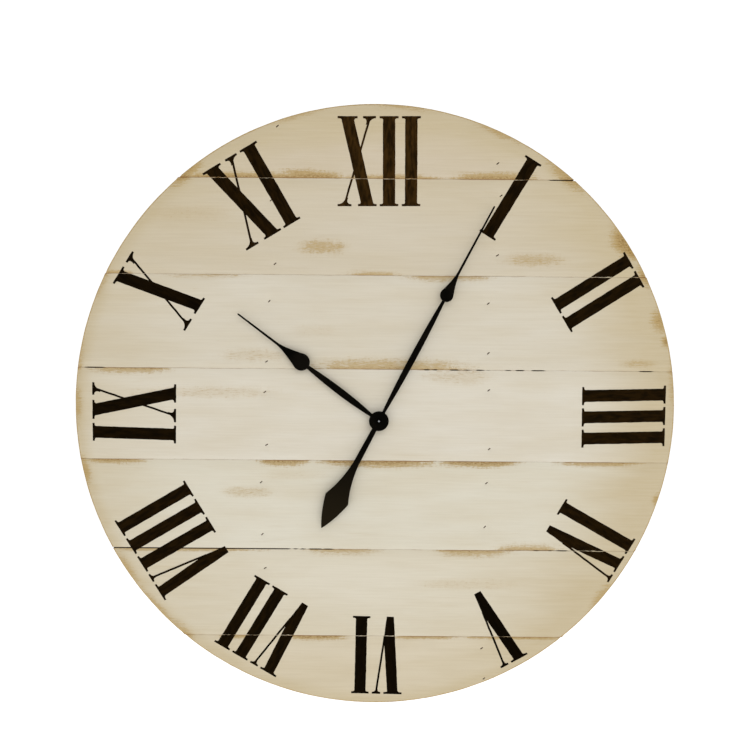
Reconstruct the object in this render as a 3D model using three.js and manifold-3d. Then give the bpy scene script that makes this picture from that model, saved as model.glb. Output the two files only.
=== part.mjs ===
// A large plank wall clock: seven painted boards cut to one disc, two battens behind them,
// and a battery quartz movement that drives a spade hour hand and minute hand.
//
// Millimetres. +Z is up, the front of the clock faces -Y, and a hand that turns clockwise,
// seen from the front, turns positively about +Y. The origin is the middle notch of the
// saw-tooth hanger, where the wall hook bears.
import * as THREE from "three";
import { mergeVertices } from "three/addons/utils/BufferGeometryUtils.js";
import Module from "manifold-3d";

const wasm = await Module();
wasm.setup();

// ---------------------------------------------------------------- driving dimensions

const GAP = 0.3; // between pieces that touch
const FULL_TURN = 2 * Math.PI;

// The disc: 36 inches across, in dressed 1 x 6 boards.
const DISC_RADIUS = 457.2;
const BOARD_WIDTH = 139.7;
const BOARD_COUNT = 7;
const BOARD_THICKNESS = 19;
const SEAM = 0.9; // open joint between two boards
const BOARD_OFFSET = 2.5; // height of the middle board's centre line over the disc's centre
const RIM_STEP = FULL_TURN / 120;

// The two battens, 1 x 3, cut off along the disc's edge.
const BATTEN_WIDTH = 63.5;
const BATTEN_THICKNESS = 19;
const BATTEN_SETBACK = 2; // the battens' ends stay this far inside the disc
const BATTEN_SPACING = 340;

// The brads that hold the boards to the battens. Each has an oblong head that leans.
const NAIL_RADIUS = 0.8;
const NAIL_HEAD_LONG = 2.5; // half lengths
const NAIL_HEAD_WIDE = 0.85;
const NAIL_HEAD_LEAN = 38; // degrees over the horizontal
const NAIL_HEAD_DEPTH = 1.6;
const NAIL_LENGTH = 35;
const NAIL_POINT = 2;
const NAIL_SINK = 0.2; // the heads are set this far under the paint

// Where the brads were driven, by eye: [x, z] from the disc's centre, one list for each board.
const NAILS = {
  left: [
    [[-146, 425]],
    [[-156, 320], [-151, 228]],
    [[-160, 173], [-165, 83]],
    [[-168, 37], [-166, -44]],
    [[-175, -102], [-174, -184]],
    [[-170, -238], [-166, -316]],
    [[-160, -378]],
  ],
  right: [
    [[178, 375]],
    [[184, 329], [181, 243]],
    [[169, 172], [171, 98]],
    [[173, 42], [176, -48]],
    [[173, -101], [172, -170]],
    [[172, -301]],
    [[172, -366], [177, -416]],
  ],
};

// Saw-tooth hanger.
const HANGER_HEIGHT = 300; // from the disc's centre up to the hook
const HANGER_LENGTH = 76;
const HANGER_WIDTH = 14;
const HANGER_THICKNESS = 1.2;
const HANGER_LIFT = 2.4; // the toothed middle stands off the board by this much
const HANGER_SCREW_SPACING = 62;
const HANGER_ROW = 2; // the board that it is screwed to
const TOOTH_PITCH = 4;
const TOOTH_DEPTH = 2;
const TOOTHED_HALF = 22;
const SCREW_RADIUS = 1.5;
const SCREW_HEAD_RADIUS = 3;
const SCREW_LENGTH = 12;
const HANGER_SCREW_HEIGHT = HANGER_WIDTH / 2 - TOOTH_DEPTH;

// The hub, where the hands turn, lies a little off the disc's centre.
const HUB_X = 6;
const HUB_Z = -5.5;

// Depths along Y.
const BOARD_BACK = -(GAP + HANGER_LIFT + HANGER_THICKNESS / 2);
const BOARD_FRONT = BOARD_BACK - BOARD_THICKNESS;
const WALL = BOARD_BACK + GAP + BATTEN_THICKNESS;
const GASKET_THICKNESS = 1;
const CASE_FRONT = BOARD_BACK + GAP + GASKET_THICKNESS + GAP;

// The movement: depths are measured back from the front face of its case.
const CASE_SIDE = 56;
const CASE_WALL = 1.5;
const BATTERY_SIDE_WALL = 0.8;
const CASE_FLOOR = 1.2;
const CASE_DEPTH = 13.9;
const CASE_CORNER = 3;
const BAY_TOP = -12.6; // the battery bay is below this height, the gear train above it
const BAY_DIVIDER = 0.8;
const COVER_BACK = 15.4;
const PIVOT_DEPTH = 0.7;
const BUSH_BORE = 2.8;
const BUSH_RADIUS = 4;
const BUSH_HOLE = 5; // the hole through the middle board

// Distances in front of the boards.
const WASHER_THICKNESS = 0.8;
const NUT_THICKNESS = 3;
const BUSH_END = 5.5;
const HOUR_HAND_BACK = 6.6;
const HOUR_PIPE_END = 9.2;
const MINUTE_HAND_BACK = 10.2;
const HAND_THICKNESS = 1;
const HAND_NUT_THICKNESS = 2.2;
const ARBOR_TIP = 14.3;

// Where the hands stand, in degrees clockwise from twelve.
const MINUTE_ANGLE = 28;
const HOUR_ANGLE = -53.2;

// The gear wheels. A pair's module is worked out from the distance between its axes.
const MOTION_DISTANCE = 10.5;
const CANNON_TEETH = 10;
const MINUTE_WHEEL_TEETH = 30;
const MINUTE_PINION_TEETH = 8;
const HOUR_TEETH = 32;
const SETTING_TEETH = 10;
const TRAIN_DISTANCE = 12.15;
const LEAVES = 6; // each pinion of the time train
const CENTRE_TEETH = 48;
const THIRD_TEETH = 45;
const FOURTH_TEETH = 36;
const FOURTH_DISTANCE = 8.82;
const INTERMEDIATE_TEETH = 30;
const ROTOR_DISTANCE = 7.2;

// ---------------------------------------------------------------- solids

// A geometry as a manifold-3d solid.
function solidOf(geometry) {
  const bare = geometry.index ? geometry.toNonIndexed() : geometry.clone();
  bare.deleteAttribute("normal");
  bare.deleteAttribute("uv");
  const merged = mergeVertices(bare, 1e-4);
  const mesh = new wasm.Mesh({
    numProp: 3,
    vertProperties: merged.attributes.position.array,
    triVerts: new Uint32Array(merged.index.array),
  });
  return new wasm.Manifold(mesh);
}

// A manifold-3d solid as a geometry with flat faces.
function geometryOf(solid) {
  const mesh = solid.getMesh();
  const geometry = new THREE.BufferGeometry();
  const positions = new Float32Array(mesh.vertProperties);
  geometry.setAttribute("position", new THREE.BufferAttribute(positions, 3));
  geometry.setIndex(new THREE.BufferAttribute(new Uint32Array(mesh.triVerts), 1));
  const flat = geometry.toNonIndexed();
  flat.computeVertexNormals();
  return flat;
}

const join = (...solids) => solids.reduce((all, one) => all.add(one));
const cut = (solid, ...tools) => tools.reduce((left, tool) => left.subtract(tool), solid);

// An outline in the plane of the dial, X to the right and Z up, filled from depth near to far.
function prism(outline, near, far, holes = []) {
  const shape = new THREE.Shape(outline);
  shape.holes = holes.map((hole) => new THREE.Path(hole));
  const extruded = new THREE.ExtrudeGeometry(shape, { depth: far - near, bevelEnabled: false });
  extruded.rotateX(Math.PI / 2);
  extruded.translate(0, far, 0);
  return solidOf(extruded);
}

const point = (x, z) => new THREE.Vector2(x, z);

// Points on an arc, both ends included.
function arc(x, z, radius, from, to, steps) {
  const points = [];
  for (let i = 0; i <= steps; i++) {
    const angle = from + ((to - from) * i) / steps;
    points.push(point(x + radius * Math.cos(angle), z + radius * Math.sin(angle)));
  }
  return points;
}

// A full circle's points.
function circle(x, z, radius, sides) {
  return arc(x, z, radius, 0, FULL_TURN, sides).slice(0, sides);
}

// A rectangle's points, its corners rounded in three steps when a radius is given.
function rectangle(left, low, right, high, radius = 0) {
  const corners = [
    [right, high, 0],
    [left, high, 1],
    [left, low, 2],
    [right, low, 3],
  ];
  if (radius === 0) return corners.map(([x, z]) => point(x, z));
  return corners.flatMap(([x, z, quarter]) => {
    const start = (quarter * Math.PI) / 2;
    const inX = x === right ? x - radius : x + radius;
    const inZ = z === high ? z - radius : z + radius;
    return arc(inX, inZ, radius, start, start + Math.PI / 2, 3);
  });
}

// A turned piece around the Y axis through (x, z). Each profile point is [radius, depth], and the
// profile starts and ends on the axis.
function turned(profile, x = 0, z = 0, sides = 24) {
  const points = profile.map(([radius, depth]) => point(radius, depth));
  const lathe = new THREE.LatheGeometry(points, sides);
  lathe.translate(x, 0, z);
  return solidOf(lathe);
}

// A round bar around the Y axis, from depth near to far.
function bar(radius, near, far, x = 0, z = 0, sides = 16) {
  const profile = [
    [0, near],
    [radius, near],
    [radius, far],
    [0, far],
  ];
  return turned(profile, x, z, sides);
}

function box(x0, y0, z0, x1, y1, z1) {
  const cuboid = new THREE.BoxGeometry(x1 - x0, y1 - y0, z1 - z0);
  cuboid.translate((x0 + x1) / 2, (y0 + y1) / 2, (z0 + z1) / 2);
  return solidOf(cuboid);
}

// ---------------------------------------------------------------- materials and nodes

const finish = (color, roughness, metalness = 0) => ({ color, roughness, metalness });
const PAINTED_WOOD = finish(0xd6ceb8, 0.8);
const BARE_PINE = finish(0xc9a877, 0.8);
const STEEL = finish(0xb4b6b8, 0.35, 0.9);
const DARK_STEEL = finish(0x5a5048, 0.5, 0.8);
const BRASS = finish(0xc9a24e, 0.35, 0.9);
const BLACK_METAL = finish(0x141414, 0.45, 0.3);
const BLACK_PLASTIC = finish(0x1b1b1c, 0.55);
const WHITE_PLASTIC = finish(0xe8e6df, 0.5);
const RUBBER = finish(0x202020, 0.9);
const COPPER = finish(0xb0602c, 0.4, 0.7);
const MAGNET = finish(0x3a3a3e, 0.5, 0.4);
const BOARD_GREEN = finish(0x1f5a35, 0.5);
const BATTERY_WRAP = finish(0x8a8d90, 0.35, 0.5);

const clock = new THREE.Group();

function addTo(group, name, solid, look) {
  const mesh = new THREE.Mesh(geometryOf(solid), new THREE.MeshStandardMaterial(look));
  mesh.name = name;
  group.add(mesh);
}

// ---------------------------------------------------------------- boards, battens and nails

const disc = new THREE.Group();
disc.position.set(0, 0, -HANGER_HEIGHT);
clock.add(disc);

const lowOf = (row) => BOARD_OFFSET + (BOARD_COUNT / 2 - row) * BOARD_WIDTH;
const battenX = (side) => HUB_X + (side * BATTEN_SPACING) / 2;

// A loop with round ends, leaning like a nail's head, and larger all round by a margin.
function oblong(x, z, margin = 0) {
  const radius = NAIL_HEAD_WIDE + margin;
  const reach = NAIL_HEAD_LONG - NAIL_HEAD_WIDE;
  const ends = [
    ...arc(reach, 0, radius, -Math.PI / 2, Math.PI / 2, 4),
    ...arc(-reach, 0, radius, Math.PI / 2, (3 * Math.PI) / 2, 4),
  ];
  const lean = (NAIL_HEAD_LEAN * Math.PI) / 180;
  return ends.map((p) => p.rotateAround(point(0, 0), lean).add(point(x, z)));
}

// The slots in a board for the nails of both battens. Row 1 is the top board.
function nailSlots(row) {
  return Object.values(NAILS).flatMap((side) => side[row - 1].map(([x, z]) => oblong(x, z, GAP)));
}

// One board: the slice of the disc between two seams.
function board(row) {
  const low = Math.max(lowOf(row) + SEAM / 2, -DISC_RADIUS);
  const high = Math.min(lowOf(row) + BOARD_WIDTH - SEAM / 2, DISC_RADIUS);
  const from = Math.asin(low / DISC_RADIUS);
  const to = Math.asin(high / DISC_RADIUS);
  const steps = Math.max(3, Math.round((to - from) / RIM_STEP));
  const right = arc(0, 0, DISC_RADIUS, from, to, steps);
  const left = arc(0, 0, DISC_RADIUS, Math.PI - to, Math.PI - from, steps);
  if (row === 1) left.shift();
  if (row === BOARD_COUNT) left.pop();
  const holes = nailSlots(row);
  if (row === (BOARD_COUNT + 1) / 2) holes.push(circle(HUB_X, HUB_Z, BUSH_HOLE, 20));
  const plank = prism([...right, ...left], BOARD_FRONT, BOARD_BACK, holes);
  return row === HANGER_ROW ? cut(plank, ...screwHoles()) : plank;
}

// The blind holes in the back of the second board, for the hanger's screws.
function screwHoles() {
  const deepest = BOARD_BACK + HANGER_THICKNESS - SCREW_LENGTH - 1;
  return [-1, 1].map((side) => {
    const x = (side * HANGER_SCREW_SPACING) / 2;
    const z = HANGER_HEIGHT + HANGER_SCREW_HEIGHT;
    return bar(SCREW_RADIUS + GAP, deepest, BOARD_BACK + 1, x, z, 10);
  });
}

const rows = Array.from({ length: BOARD_COUNT }, (_, i) => i + 1);
for (const row of rows) addTo(disc, "board_" + row, board(row), PAINTED_WOOD);

const NAIL_TOP = BOARD_FRONT + NAIL_SINK;
const NAIL_TIP = NAIL_TOP + NAIL_LENGTH;

// One batten, with a blind pilot hole for each nail. side is -1 on the left and 1 on the right.
function batten(side, nails) {
  const left = battenX(side) - BATTEN_WIDTH / 2;
  const right = battenX(side) + BATTEN_WIDTH / 2;
  const reach = DISC_RADIUS - BATTEN_SETBACK;
  const leftEnd = Math.acos(left / reach);
  const rightEnd = Math.acos(right / reach);
  const outline = [
    ...arc(0, 0, reach, rightEnd, leftEnd, 4),
    ...arc(0, 0, reach, -leftEnd, -rightEnd, 4),
  ];
  const pilots = nails
    .flat()
    .map(([x, z]) => bar(NAIL_RADIUS + GAP, BOARD_BACK, NAIL_TIP + GAP, x, z, 8));
  return cut(prism(outline, BOARD_BACK + GAP, WALL), ...pilots);
}

// A nail: an oblong head on a round shank with a point.
function nail(x, z) {
  const neck = NAIL_TOP + NAIL_HEAD_DEPTH;
  const head = prism(oblong(x, z), NAIL_TOP, neck);
  const profile = [
    [0, neck - 0.5],
    [NAIL_RADIUS, neck - 0.5],
    [NAIL_RADIUS, NAIL_TIP - NAIL_POINT],
    [0, NAIL_TIP],
  ];
  return join(head, turned(profile, x, z, 8));
}

for (const [side, sideName] of [
  [-1, "left"],
  [1, "right"],
]) {
  addTo(disc, "batten_" + sideName, batten(side, NAILS[sideName]), BARE_PINE);
  NAILS[sideName].forEach((nails, i) =>
    nails.forEach(([x, z], j) => {
      const name = `nail_${sideName}_${i + 1}` + "ab"[j];
      addTo(disc, name, nail(x, z), DARK_STEEL);
    }),
  );
}

// ---------------------------------------------------------------- saw-tooth hanger

// The strip seen from above: flat ends on the board and a raised middle.
function hangerStrip() {
  const half = HANGER_LENGTH / 2;
  const raised = half - 13;
  const ramp = 3;
  const back = BOARD_BACK + GAP;
  const thick = HANGER_THICKNESS;
  const lift = HANGER_LIFT;
  const front = [
    point(-half, back),
    point(-raised - ramp, back),
    point(-raised, back + lift),
    point(raised, back + lift),
    point(raised + ramp, back),
    point(half, back),
  ];
  const rear = front.map((p) => point(p.x, p.y + thick)).reverse();
  const shape = new THREE.Shape([...front, ...rear]);
  const strip = new THREE.ExtrudeGeometry(shape, { depth: HANGER_WIDTH, bevelEnabled: false });
  return solidOf(strip);
}

// The hook bears in the middle notch of the lower edge, which is at the origin.
function hanger() {
  const bottom = -TOOTH_DEPTH;
  const strip = hangerStrip().translate([0, 0, bottom]);
  const notches = [];
  for (let x = -TOOTHED_HALF + 2; x <= TOOTHED_HALF - 2; x += TOOTH_PITCH) {
    notches.push(point(x - TOOTH_PITCH / 2, bottom), point(x, 0));
  }
  notches.push(point(TOOTHED_HALF, bottom), point(TOOTHED_HALF, bottom - 1));
  notches.push(point(-TOOTHED_HALF, bottom - 1));
  const teeth = prism(notches.reverse(), BOARD_BACK, BOARD_BACK + 2 * HANGER_LIFT);
  const holes = [-1, 1].map((side) => {
    const x = (side * HANGER_SCREW_SPACING) / 2;
    return bar(SCREW_RADIUS + GAP, BOARD_BACK - 1, BOARD_BACK + 4, x, HANGER_SCREW_HEIGHT);
  });
  return cut(strip, teeth, ...holes);
}

// A round-head screw with a slot across its head. It bites into the board's back.
function hangerScrew(x) {
  const seat = BOARD_BACK + GAP + HANGER_THICKNESS + GAP;
  const profile = [
    [0, seat - SCREW_LENGTH],
    [SCREW_RADIUS, seat - SCREW_LENGTH + 3],
    [SCREW_RADIUS, seat],
    [SCREW_HEAD_RADIUS, seat],
    [SCREW_HEAD_RADIUS * 0.8, seat + 1.2],
    [0, seat + 1.8],
  ];
  const z = HANGER_SCREW_HEIGHT;
  const slot = box(x - 4, seat + 1, z - 0.4, x + 4, seat + 3, z + 0.4);
  return cut(turned(profile, x, z, 16), slot);
}

addTo(clock, "sawtooth_hanger", hanger(), BRASS);
addTo(clock, "hanger_screw_left", hangerScrew(-HANGER_SCREW_SPACING / 2), STEEL);
addTo(clock, "hanger_screw_right", hangerScrew(HANGER_SCREW_SPACING / 2), STEEL);

// ---------------------------------------------------------------- where the arbors stand

const movement = new THREE.Group();
movement.position.set(HUB_X, 0, -HANGER_HEIGHT + HUB_Z);
clock.add(movement);

const degrees = (angle) => (angle * Math.PI) / 180;
const MINUTE_WHEEL_BEARING = degrees(150);
const THIRD_BEARING = degrees(60);
const INTERMEDIATE_BEARING = degrees(-20);
const ROTOR_BEARING = degrees(40);

// The point at a distance and bearing from another one.
function from(start, distance, bearing) {
  return point(start.x + distance * Math.cos(bearing), start.y + distance * Math.sin(bearing));
}

const CENTRE = point(0, 0);
const MINUTE_WHEEL_AT = from(CENTRE, MOTION_DISTANCE, MINUTE_WHEEL_BEARING);
const SETTING_AT = from(MINUTE_WHEEL_AT, MOTION_DISTANCE, MINUTE_WHEEL_BEARING);
const THIRD_AT = from(CENTRE, TRAIN_DISTANCE, THIRD_BEARING);
const INTERMEDIATE_AT = from(CENTRE, FOURTH_DISTANCE, INTERMEDIATE_BEARING);
const ROTOR_AT = from(INTERMEDIATE_AT, ROTOR_DISTANCE, ROTOR_BEARING);

// Depths of the layers, each [near, far], back from the case's front face.
const HOUR_LAYER = [1.5, 2.5];
const MINUTE_PINION_LAYER = [1.5, 3];
const MINUTE_LAYER = [2.9, 3.7];
const CANNON_LAYER = [2.8, 3.8];
const CENTRE_LAYER = [4.3, 5];
const THIRD_PINION_LAYER = [4.2, 5.1];
const BRIDGE_LAYER = [5.5, 6.3];
const THIRD_LAYER = [6.8, 7.4];
const FOURTH_PINION_LAYER = [6.7, 7.5];
const FOURTH_LAYER = [8.1, 8.7];
const INTERMEDIATE_PINION_LAYER = [8, 8.8];
const INTERMEDIATE_LAYER = [9.4, 10];
const ROTOR_PINION_LAYER = [9.3, 10.1];
const MAGNET_LAYER = [10.6, 12.2];
const STATOR_LAYER = [10.9, 11.7];
const COVER_FRONT = CASE_DEPTH + GAP;

const back = (depth) => CASE_FRONT + depth; // a depth in the movement as a Y value
const ahead = (distance) => BOARD_FRONT - distance; // a distance before the boards as a Y value

// ---------------------------------------------------------------- gear teeth

const WHEEL_TOOTH = { addendum: 0.95, dedendum: 1.25, rootWidth: 1.75, tipWidth: 0.6 };
const LEAF_TOOTH = { addendum: 0.75, dedendum: 1.3, rootWidth: 0.85, tipWidth: 0.55 };

// Tooth sizes are in modules. phase is the bearing of one tooth's middle.
function toothed(teeth, module, phase, layer, at, tooth) {
  const pitchRadius = (teeth * module) / 2;
  const root = pitchRadius - tooth.dedendum * module;
  const tip = pitchRadius + tooth.addendum * module;
  const outline = [];
  for (let i = 0; i < teeth; i++) {
    const middle = phase + (i * FULL_TURN) / teeth;
    const rootHalf = (tooth.rootWidth * module) / 2 / root;
    const tipHalf = (tooth.tipWidth * module) / 2 / tip;
    outline.push(
      from(at, root, middle - rootHalf),
      from(at, tip, middle - tipHalf),
      from(at, tip, middle + tipHalf),
      from(at, root, middle + rootHalf),
    );
  }
  return prism(outline, back(layer[0]), back(layer[1]));
}

// The bearing of one tooth of a gear that meshes with another. bearing runs from the first
// gear's axis to the second's.
function meshPhase(firstPhase, firstTeeth, secondTeeth, bearing) {
  const teethPast = ((bearing - firstPhase) * firstTeeth) / FULL_TURN;
  const fraction = teethPast - Math.floor(teethPast);
  return bearing + Math.PI + ((fraction + 0.5) * FULL_TURN) / secondTeeth;
}

const moduleOf = (distance, teeth, otherTeeth) => (2 * distance) / (teeth + otherTeeth);
const MOTION_MODULE = moduleOf(MOTION_DISTANCE, CANNON_TEETH, MINUTE_WHEEL_TEETH);
const CENTRE_MODULE = moduleOf(TRAIN_DISTANCE, CENTRE_TEETH, LEAVES);
const THIRD_MODULE = moduleOf(TRAIN_DISTANCE, THIRD_TEETH, LEAVES);
const FOURTH_MODULE = moduleOf(FOURTH_DISTANCE, FOURTH_TEETH, LEAVES);
const ROTOR_MODULE = moduleOf(ROTOR_DISTANCE, INTERMEDIATE_TEETH, LEAVES);

// Phases, each from the gear that drives it.
const MINUTE_WHEEL_PHASE = meshPhase(0, CANNON_TEETH, MINUTE_WHEEL_TEETH, MINUTE_WHEEL_BEARING);
const SETTING_PHASE = meshPhase(
  MINUTE_WHEEL_PHASE,
  MINUTE_WHEEL_TEETH,
  SETTING_TEETH,
  MINUTE_WHEEL_BEARING,
);
const HOUR_PHASE = meshPhase(0, MINUTE_PINION_TEETH, HOUR_TEETH, MINUTE_WHEEL_BEARING + Math.PI);
const THIRD_PINION_PHASE = meshPhase(0, CENTRE_TEETH, LEAVES, THIRD_BEARING);
const FOURTH_PINION_PHASE = meshPhase(0, THIRD_TEETH, LEAVES, THIRD_BEARING + Math.PI);
const INTERMEDIATE_PINION_PHASE = meshPhase(0, FOURTH_TEETH, LEAVES, INTERMEDIATE_BEARING);
const ROTOR_PINION_PHASE = meshPhase(0, INTERMEDIATE_TEETH, LEAVES, ROTOR_BEARING);

const wheel = (teeth, module, phase, layer, at) =>
  toothed(teeth, module, phase, layer, at, WHEEL_TOOTH);
const pinion = (teeth, module, phase, layer, at) =>
  toothed(teeth, module, phase, layer, at, LEAF_TOOTH);

// An arbor with a thin pivot at each end. Depths are from the case's front face.
function arbor(radius, pivotRadius, near, far, at) {
  const profile = [
    [0, back(near - PIVOT_DEPTH)],
    [pivotRadius, back(near - PIVOT_DEPTH)],
    [pivotRadius, back(near)],
    [radius, back(near)],
    [radius, back(far)],
    [pivotRadius, back(far)],
    [pivotRadius, back(far + PIVOT_DEPTH)],
    [0, back(far + PIVOT_DEPTH)],
  ];
  return turned(profile, at.x, at.y, 12);
}

const PIVOT = 0.3;
const PIVOT_HOLE = 0.5;
const STAFF = 0.6;
const STAFF_HOLE = 1;
const REAR_SHOULDER = COVER_FRONT - 0.2;
const BRIDGE_SHOULDER = BRIDGE_LAYER[1] + 0.2;
const FLOOR_SHOULDER = CASE_FLOOR + 0.2;

// ---------------------------------------------------------------- motion work

const ARBOR_RADIUS = 1.5;
const PIPE_RADIUS = 2.5;
const PIPE_BORE = 1.8;
const ARBOR_REAR = 6;
const CENTRE_COLLAR = 2;

// The minute arbor: the long shaft that carries the minute hand, with its cannon pinion, and a
// blind bore in its rear end that takes the fourth wheel's front pivot.
function minuteArbor() {
  const profile = [
    [0, ahead(ARBOR_TIP)],
    [ARBOR_RADIUS - 0.4, ahead(ARBOR_TIP)],
    [ARBOR_RADIUS, ahead(ARBOR_TIP - 0.6)],
    [ARBOR_RADIUS, back(CANNON_LAYER[1])],
    [CENTRE_COLLAR, back(CANNON_LAYER[1])],
    [CENTRE_COLLAR, back(CENTRE_LAYER[0] - 0.2)],
    [ARBOR_RADIUS - 0.2, back(CENTRE_LAYER[0] - 0.2)],
    [ARBOR_RADIUS - 0.2, back(ARBOR_REAR)],
    [0, back(ARBOR_REAR)],
  ];
  const shaft = turned(profile, 0, 0, 16);
  const cannon = pinion(CANNON_TEETH, MOTION_MODULE, 0, CANNON_LAYER, CENTRE);
  const bore = bar(PIVOT_HOLE + 0.1, back(ARBOR_REAR - 1.2), back(ARBOR_REAR + 1), 0, 0, 12);
  return cut(join(shaft, cannon), bore);
}

// The centre wheel grips the minute arbor by friction, so that the hands can be set.
function centreWheel() {
  const disc = wheel(CENTRE_TEETH, CENTRE_MODULE, 0, CENTRE_LAYER, CENTRE);
  return cut(disc, bar(ARBOR_RADIUS, back(CENTRE_LAYER[0] - 1), back(CENTRE_LAYER[1] + 1)));
}

function hourWheel() {
  const disc = wheel(HOUR_TEETH, MOTION_MODULE, HOUR_PHASE, HOUR_LAYER, CENTRE);
  const pipe = bar(PIPE_RADIUS, ahead(HOUR_PIPE_END), back(HOUR_LAYER[1]), 0, 0, 24);
  const bore = bar(PIPE_BORE, ahead(HOUR_PIPE_END + 1), back(HOUR_LAYER[1] + 1), 0, 0, 24);
  return cut(join(disc, pipe), bore);
}

const STUD_RADIUS = 0.6;
const STUD_BORE = 0.85;

// The minute wheel and its pinion turn on a stud of the case.
function minuteWheel() {
  const at = MINUTE_WHEEL_AT;
  const disc = wheel(MINUTE_WHEEL_TEETH, MOTION_MODULE, MINUTE_WHEEL_PHASE, MINUTE_LAYER, at);
  const small = pinion(MINUTE_PINION_TEETH, MOTION_MODULE, 0, MINUTE_PINION_LAYER, at);
  const bore = bar(STUD_BORE, back(1), back(5), at.x, at.y);
  return cut(join(disc, small), bore);
}

const KNOB_RADIUS = 5;
const KNOB_FRONT = COVER_BACK + GAP;
const KNOB_BACK = 17.2;
const KNOB_FLUTES = 12;

// The setting knob at the back, on a long shaft whose pinion turns the minute wheel.
function settingKnob() {
  const at = SETTING_AT;
  const shaft = bar(1, back(FLOOR_SHOULDER), back(KNOB_FRONT + 0.5), at.x, at.y, 12);
  const pivot = bar(PIVOT, back(FLOOR_SHOULDER - PIVOT_DEPTH), back(2), at.x, at.y, 8);
  const small = pinion(SETTING_TEETH, MOTION_MODULE, SETTING_PHASE, CANNON_LAYER, at);
  const disc = bar(KNOB_RADIUS, back(KNOB_FRONT), back(KNOB_BACK), at.x, at.y, 24);
  const flutes = Array.from({ length: KNOB_FLUTES }, (_, i) => {
    const place = from(at, KNOB_RADIUS + 0.3, (i * FULL_TURN) / KNOB_FLUTES);
    return bar(0.9, back(KNOB_FRONT - 1), back(KNOB_BACK + 1), place.x, place.y, 8);
  });
  return cut(join(shaft, pivot, small, disc), ...flutes);
}

// ---------------------------------------------------------------- time train

function thirdWheel() {
  const at = THIRD_AT;
  const staff = arbor(STAFF, PIVOT, FLOOR_SHOULDER, REAR_SHOULDER, at);
  const leaves = pinion(LEAVES, CENTRE_MODULE, THIRD_PINION_PHASE, THIRD_PINION_LAYER, at);
  return join(staff, leaves, wheel(THIRD_TEETH, THIRD_MODULE, 0, THIRD_LAYER, at));
}

function fourthWheel() {
  const staff = arbor(STAFF, PIVOT, ARBOR_REAR + 0.2, REAR_SHOULDER, CENTRE);
  const phase = FOURTH_PINION_PHASE;
  const leaves = pinion(LEAVES, THIRD_MODULE, phase, FOURTH_PINION_LAYER, CENTRE);
  return join(staff, leaves, wheel(FOURTH_TEETH, FOURTH_MODULE, 0, FOURTH_LAYER, CENTRE));
}

function intermediateWheel() {
  const at = INTERMEDIATE_AT;
  const phase = INTERMEDIATE_PINION_PHASE;
  const staff = arbor(STAFF, PIVOT, BRIDGE_SHOULDER, REAR_SHOULDER, at);
  const leaves = pinion(LEAVES, FOURTH_MODULE, phase, INTERMEDIATE_PINION_LAYER, at);
  return join(staff, leaves, wheel(INTERMEDIATE_TEETH, ROTOR_MODULE, 0, INTERMEDIATE_LAYER, at));
}

const MAGNET_RADIUS = 3;

function rotor() {
  const at = ROTOR_AT;
  const staff = arbor(STAFF - 0.1, PIVOT, BRIDGE_SHOULDER, REAR_SHOULDER, at);
  const leaves = pinion(LEAVES, ROTOR_MODULE, ROTOR_PINION_PHASE, ROTOR_PINION_LAYER, at);
  const magnet = bar(MAGNET_RADIUS, back(MAGNET_LAYER[0]), back(MAGNET_LAYER[1]), at.x, at.y, 24);
  return join(staff, leaves, magnet);
}

// ---------------------------------------------------------------- stepping motor and circuit

const STATOR_HOLE = 3.7;
const COIL_X = 22.5;
const ARM_LOW = [-9, -5];
const ARM_HIGH = [10, 14];

// A C-shaped plate: the rotor turns in its upright, and the coil joins its two arms.
function stator() {
  const left = ROTOR_AT.x - STATOR_HOLE - 0.8;
  const right = ROTOR_AT.x + STATOR_HOLE + 0.8;
  const end = COIL_X + 2.5;
  const outline = [
    point(left, ARM_LOW[0]),
    point(end, ARM_LOW[0]),
    point(end, ARM_LOW[1]),
    point(right, ARM_LOW[1]),
    point(right, ARM_HIGH[0]),
    point(end, ARM_HIGH[0]),
    point(end, ARM_HIGH[1]),
    point(left, ARM_HIGH[1]),
  ];
  const hole = circle(ROTOR_AT.x, ROTOR_AT.y, STATOR_HOLE, 24);
  return prism(outline, back(STATOR_LAYER[0]), back(STATOR_LAYER[1]), [hole]);
}

// A bar along Z, for the coil.
function upright(radius, low, high) {
  const geometry = new THREE.CylinderGeometry(radius, radius, high - low, 20);
  geometry.rotateX(Math.PI / 2);
  geometry.translate(COIL_X, back(COIL_DEPTH), (low + high) / 2);
  return solidOf(geometry);
}

const COIL_DEPTH = 10.5;

// The winding between two flanges, on a flat core that lies on the stator's arms.
function coil() {
  const low = ARM_LOW[1] + 0.6;
  const high = ARM_HIGH[0] - 0.6;
  const near = STATOR_LAYER[1] + GAP;
  const core = box(COIL_X - 1.5, back(near), ARM_LOW[0], COIL_X + 1.5, back(near + 0.5), ARM_HIGH[1]);
  return join(upright(2.7, low, high), upright(3.3, low, low + 0.8), upright(3.3, high - 0.8, high), core);
}

function circuitBoard() {
  const plate = prism(rectangle(-25.5, -10.8, -11.5, 3), back(12), back(12.8));
  const chip = bar(2.6, back(12.5), back(13.5), -18, -5, 16);
  const crystal = box(-24, back(12.5), -1.5, -17, back(13.9), 0.9);
  return join(plate, chip, crystal);
}

// ---------------------------------------------------------------- battery and contacts

const BATTERY_RADIUS = 7;
const BATTERY_Z = -20;
const BATTERY_DEPTH = 8.4;
const BATTERY_LEFT = -24.4;
const BATTERY_RIGHT = 24.2;
const BATTERY_NUB = 25.6;

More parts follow.
